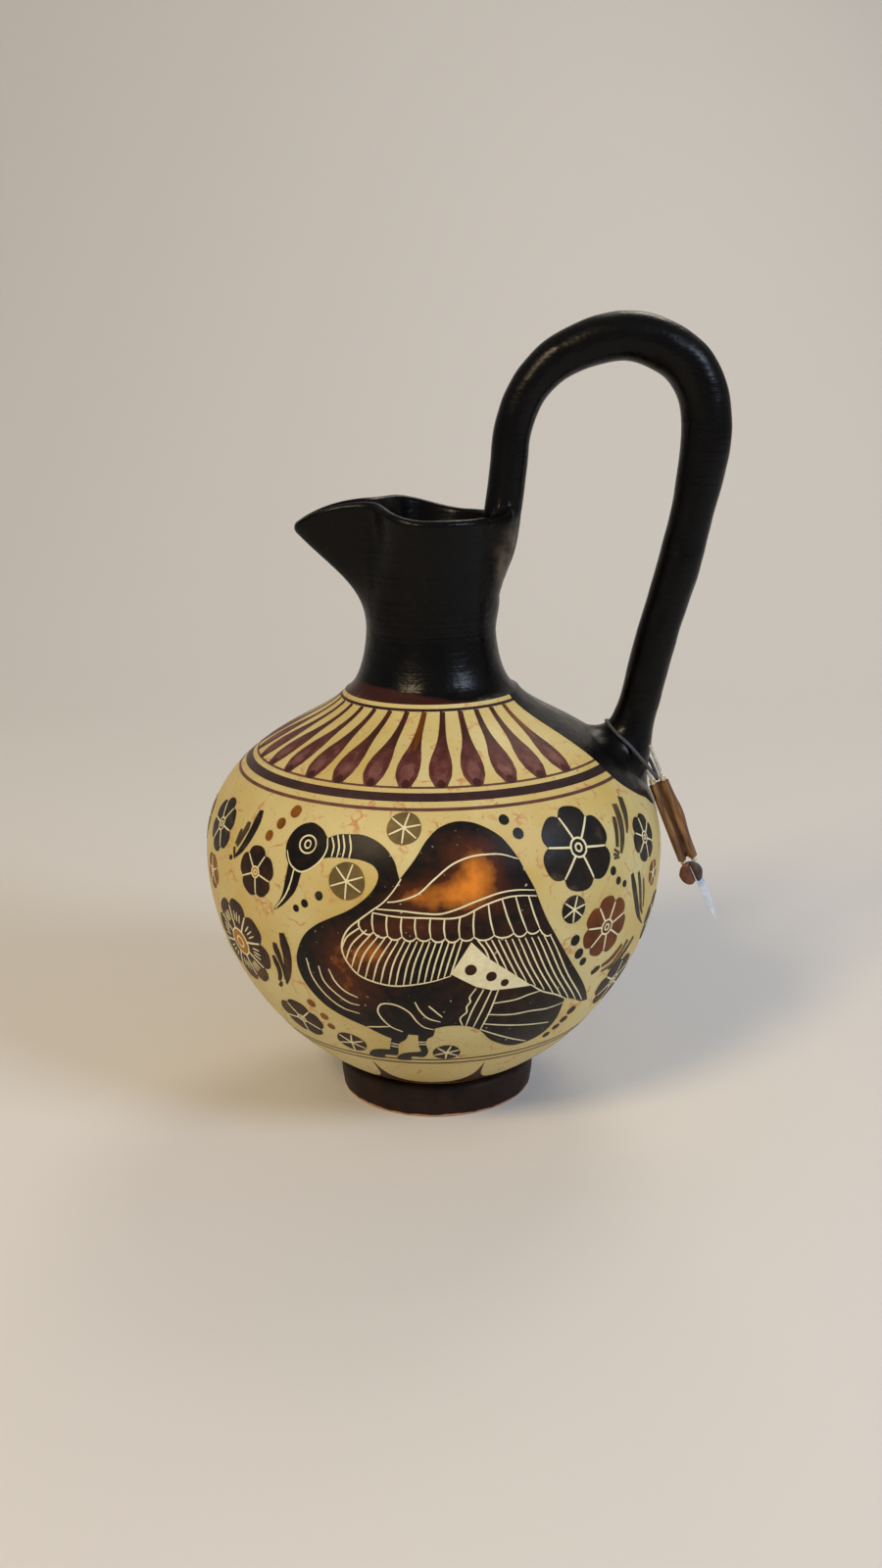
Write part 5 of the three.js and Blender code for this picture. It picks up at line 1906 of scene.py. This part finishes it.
@dataclass
class Studio:
    """The pale floor, the soft lights and the camera."""

    distance: float = 413.707
    height: float = 197.4
    pitch: float = 0.2621
    roll: float = -0.0128
    yaw: float = 0.0052
    focal_length: float = 36.0
    sensor_width: float = 36.0
    floor_colour: str = "d9d6d0"
    floor_reach: float = 3.0
    wall_place: float = 1.1
    wall_height: float = 2.4
    bend: float = 0.6
    lamps: tuple[tuple[str, Flat, float, float, str], ...] = (
        ("key", (-0.6, -0.8, 0.95), 0.36, 9.0, "ffe3b6"),
        ("window", (0.85, -0.6, 0.75), 0.42, 7.4, "d6e4ff"),
        ("back", (0.3, 0.75, 0.95), 0.5, 3.0, "fff6e8"),
    )
    aim_height: float = 0.1
    room_colour: str = "e6e8ec"
    room_light: float = 0.34

    def build(self) -> None:
        """Sets the stage."""
        self.make_camera()
        self.make_stage()
        self.make_lights()
        bpy.context.scene.view_settings.view_transform = "Standard"

    def make_camera(self) -> None:
        """Puts the camera where the photograph was taken."""
        flat = math.cos(self.pitch)
        look = Vector((math.sin(self.yaw) * flat, math.cos(self.yaw) * flat, -math.sin(self.pitch)))
        right = Vector((math.cos(self.yaw), -math.sin(self.yaw), 0))
        up = right.cross(look)
        across = right * math.cos(self.roll) + up * math.sin(self.roll)
        above = up * math.cos(self.roll) - right * math.sin(self.roll)
        turn = Matrix((across, above, -look)).transposed().to_4x4()
        data = bpy.data.cameras.new("camera")
        data.lens = self.focal_length
        data.sensor_width = self.sensor_width
        camera = add_object("camera", data)
        camera.matrix_world = Matrix.Translation(Vector((0, -self.distance, self.height)) * MM) @ turn
        bpy.context.scene.camera = camera

    def make_stage(self) -> None:
        """Lays the floor and bends it up behind the jug."""
        bm = bmesh.new()
        turns = [-math.pi / 2 * (1 - k / 12) for k in range(13)]
        bend = [towards(self.wall_place - self.bend, self.bend, self.bend, turn) for turn in turns]
        line = [Vector((-self.floor_reach, 0)), *bend, Vector((self.wall_place, self.wall_height))]
        _, edges = chain(bm, [(-self.floor_reach, p.x, p.y) for p in line])
        made = bmesh.ops.extrude_edge_only(bm, edges=edges)
        bmesh.ops.translate(bm, verts=pick(made, BMVert), vec=(2 * self.floor_reach, 0, 0))
        bmesh.ops.recalc_face_normals(bm, faces=bm.faces[:])
        mesh = smooth_mesh("floor", bm)
        paper = Surface("pale backdrop paper", Roughness=0.9, Base_Color=linear(self.floor_colour))
        mesh.materials.append(paper.material)
        add_object("floor", mesh)

    def make_lights(self) -> None:
        """Hangs the soft boxes and sets the room's light."""
        for name, place, size, power, colour in self.lamps:
            data = bpy.data.lights.new(name, "AREA")
            data.shape = "DISK"
            data.size = size
            data.energy = power
            data.color = linear(colour)[:3]
            lamp = add_object(name, data)
            spot = Vector(place)
            aim = Vector((0, 0, self.aim_height)) - spot
            lamp.matrix_world = Matrix.Translation(spot) @ aim.to_track_quat("-Z", "Y").to_matrix().to_4x4()
        world = bpy.data.worlds.new("room")
        world.use_nodes = True
        background = world.node_tree.nodes["Background"]
        background.inputs["Color"].default_value = linear(self.room_colour)
        background.inputs["Strength"].default_value = self.room_light
        bpy.context.scene.world = world


def main() -> None:
    """Builds the jug, its painting, its tag and the studio."""
    logging.basicConfig(level=logging.INFO, format="%(name)s: %(message)s")
    Studio().build()
    shop = Shop()
    wall = Wall()
    neck = Neck(wall, shop)
    handle = Handle(wall, neck, shop)
    half = wall.round_girth() / 2
    parts = (
        Belly(wall, shop), Bird(wall, shop, "front_bird"), Bird(wall, shop, "back_bird", half),
        Frieze(wall, shop), handle, Tag(handle, shop),
    )
    for part in parts:
        part.build()


if __name__ == "__main__":
    main()
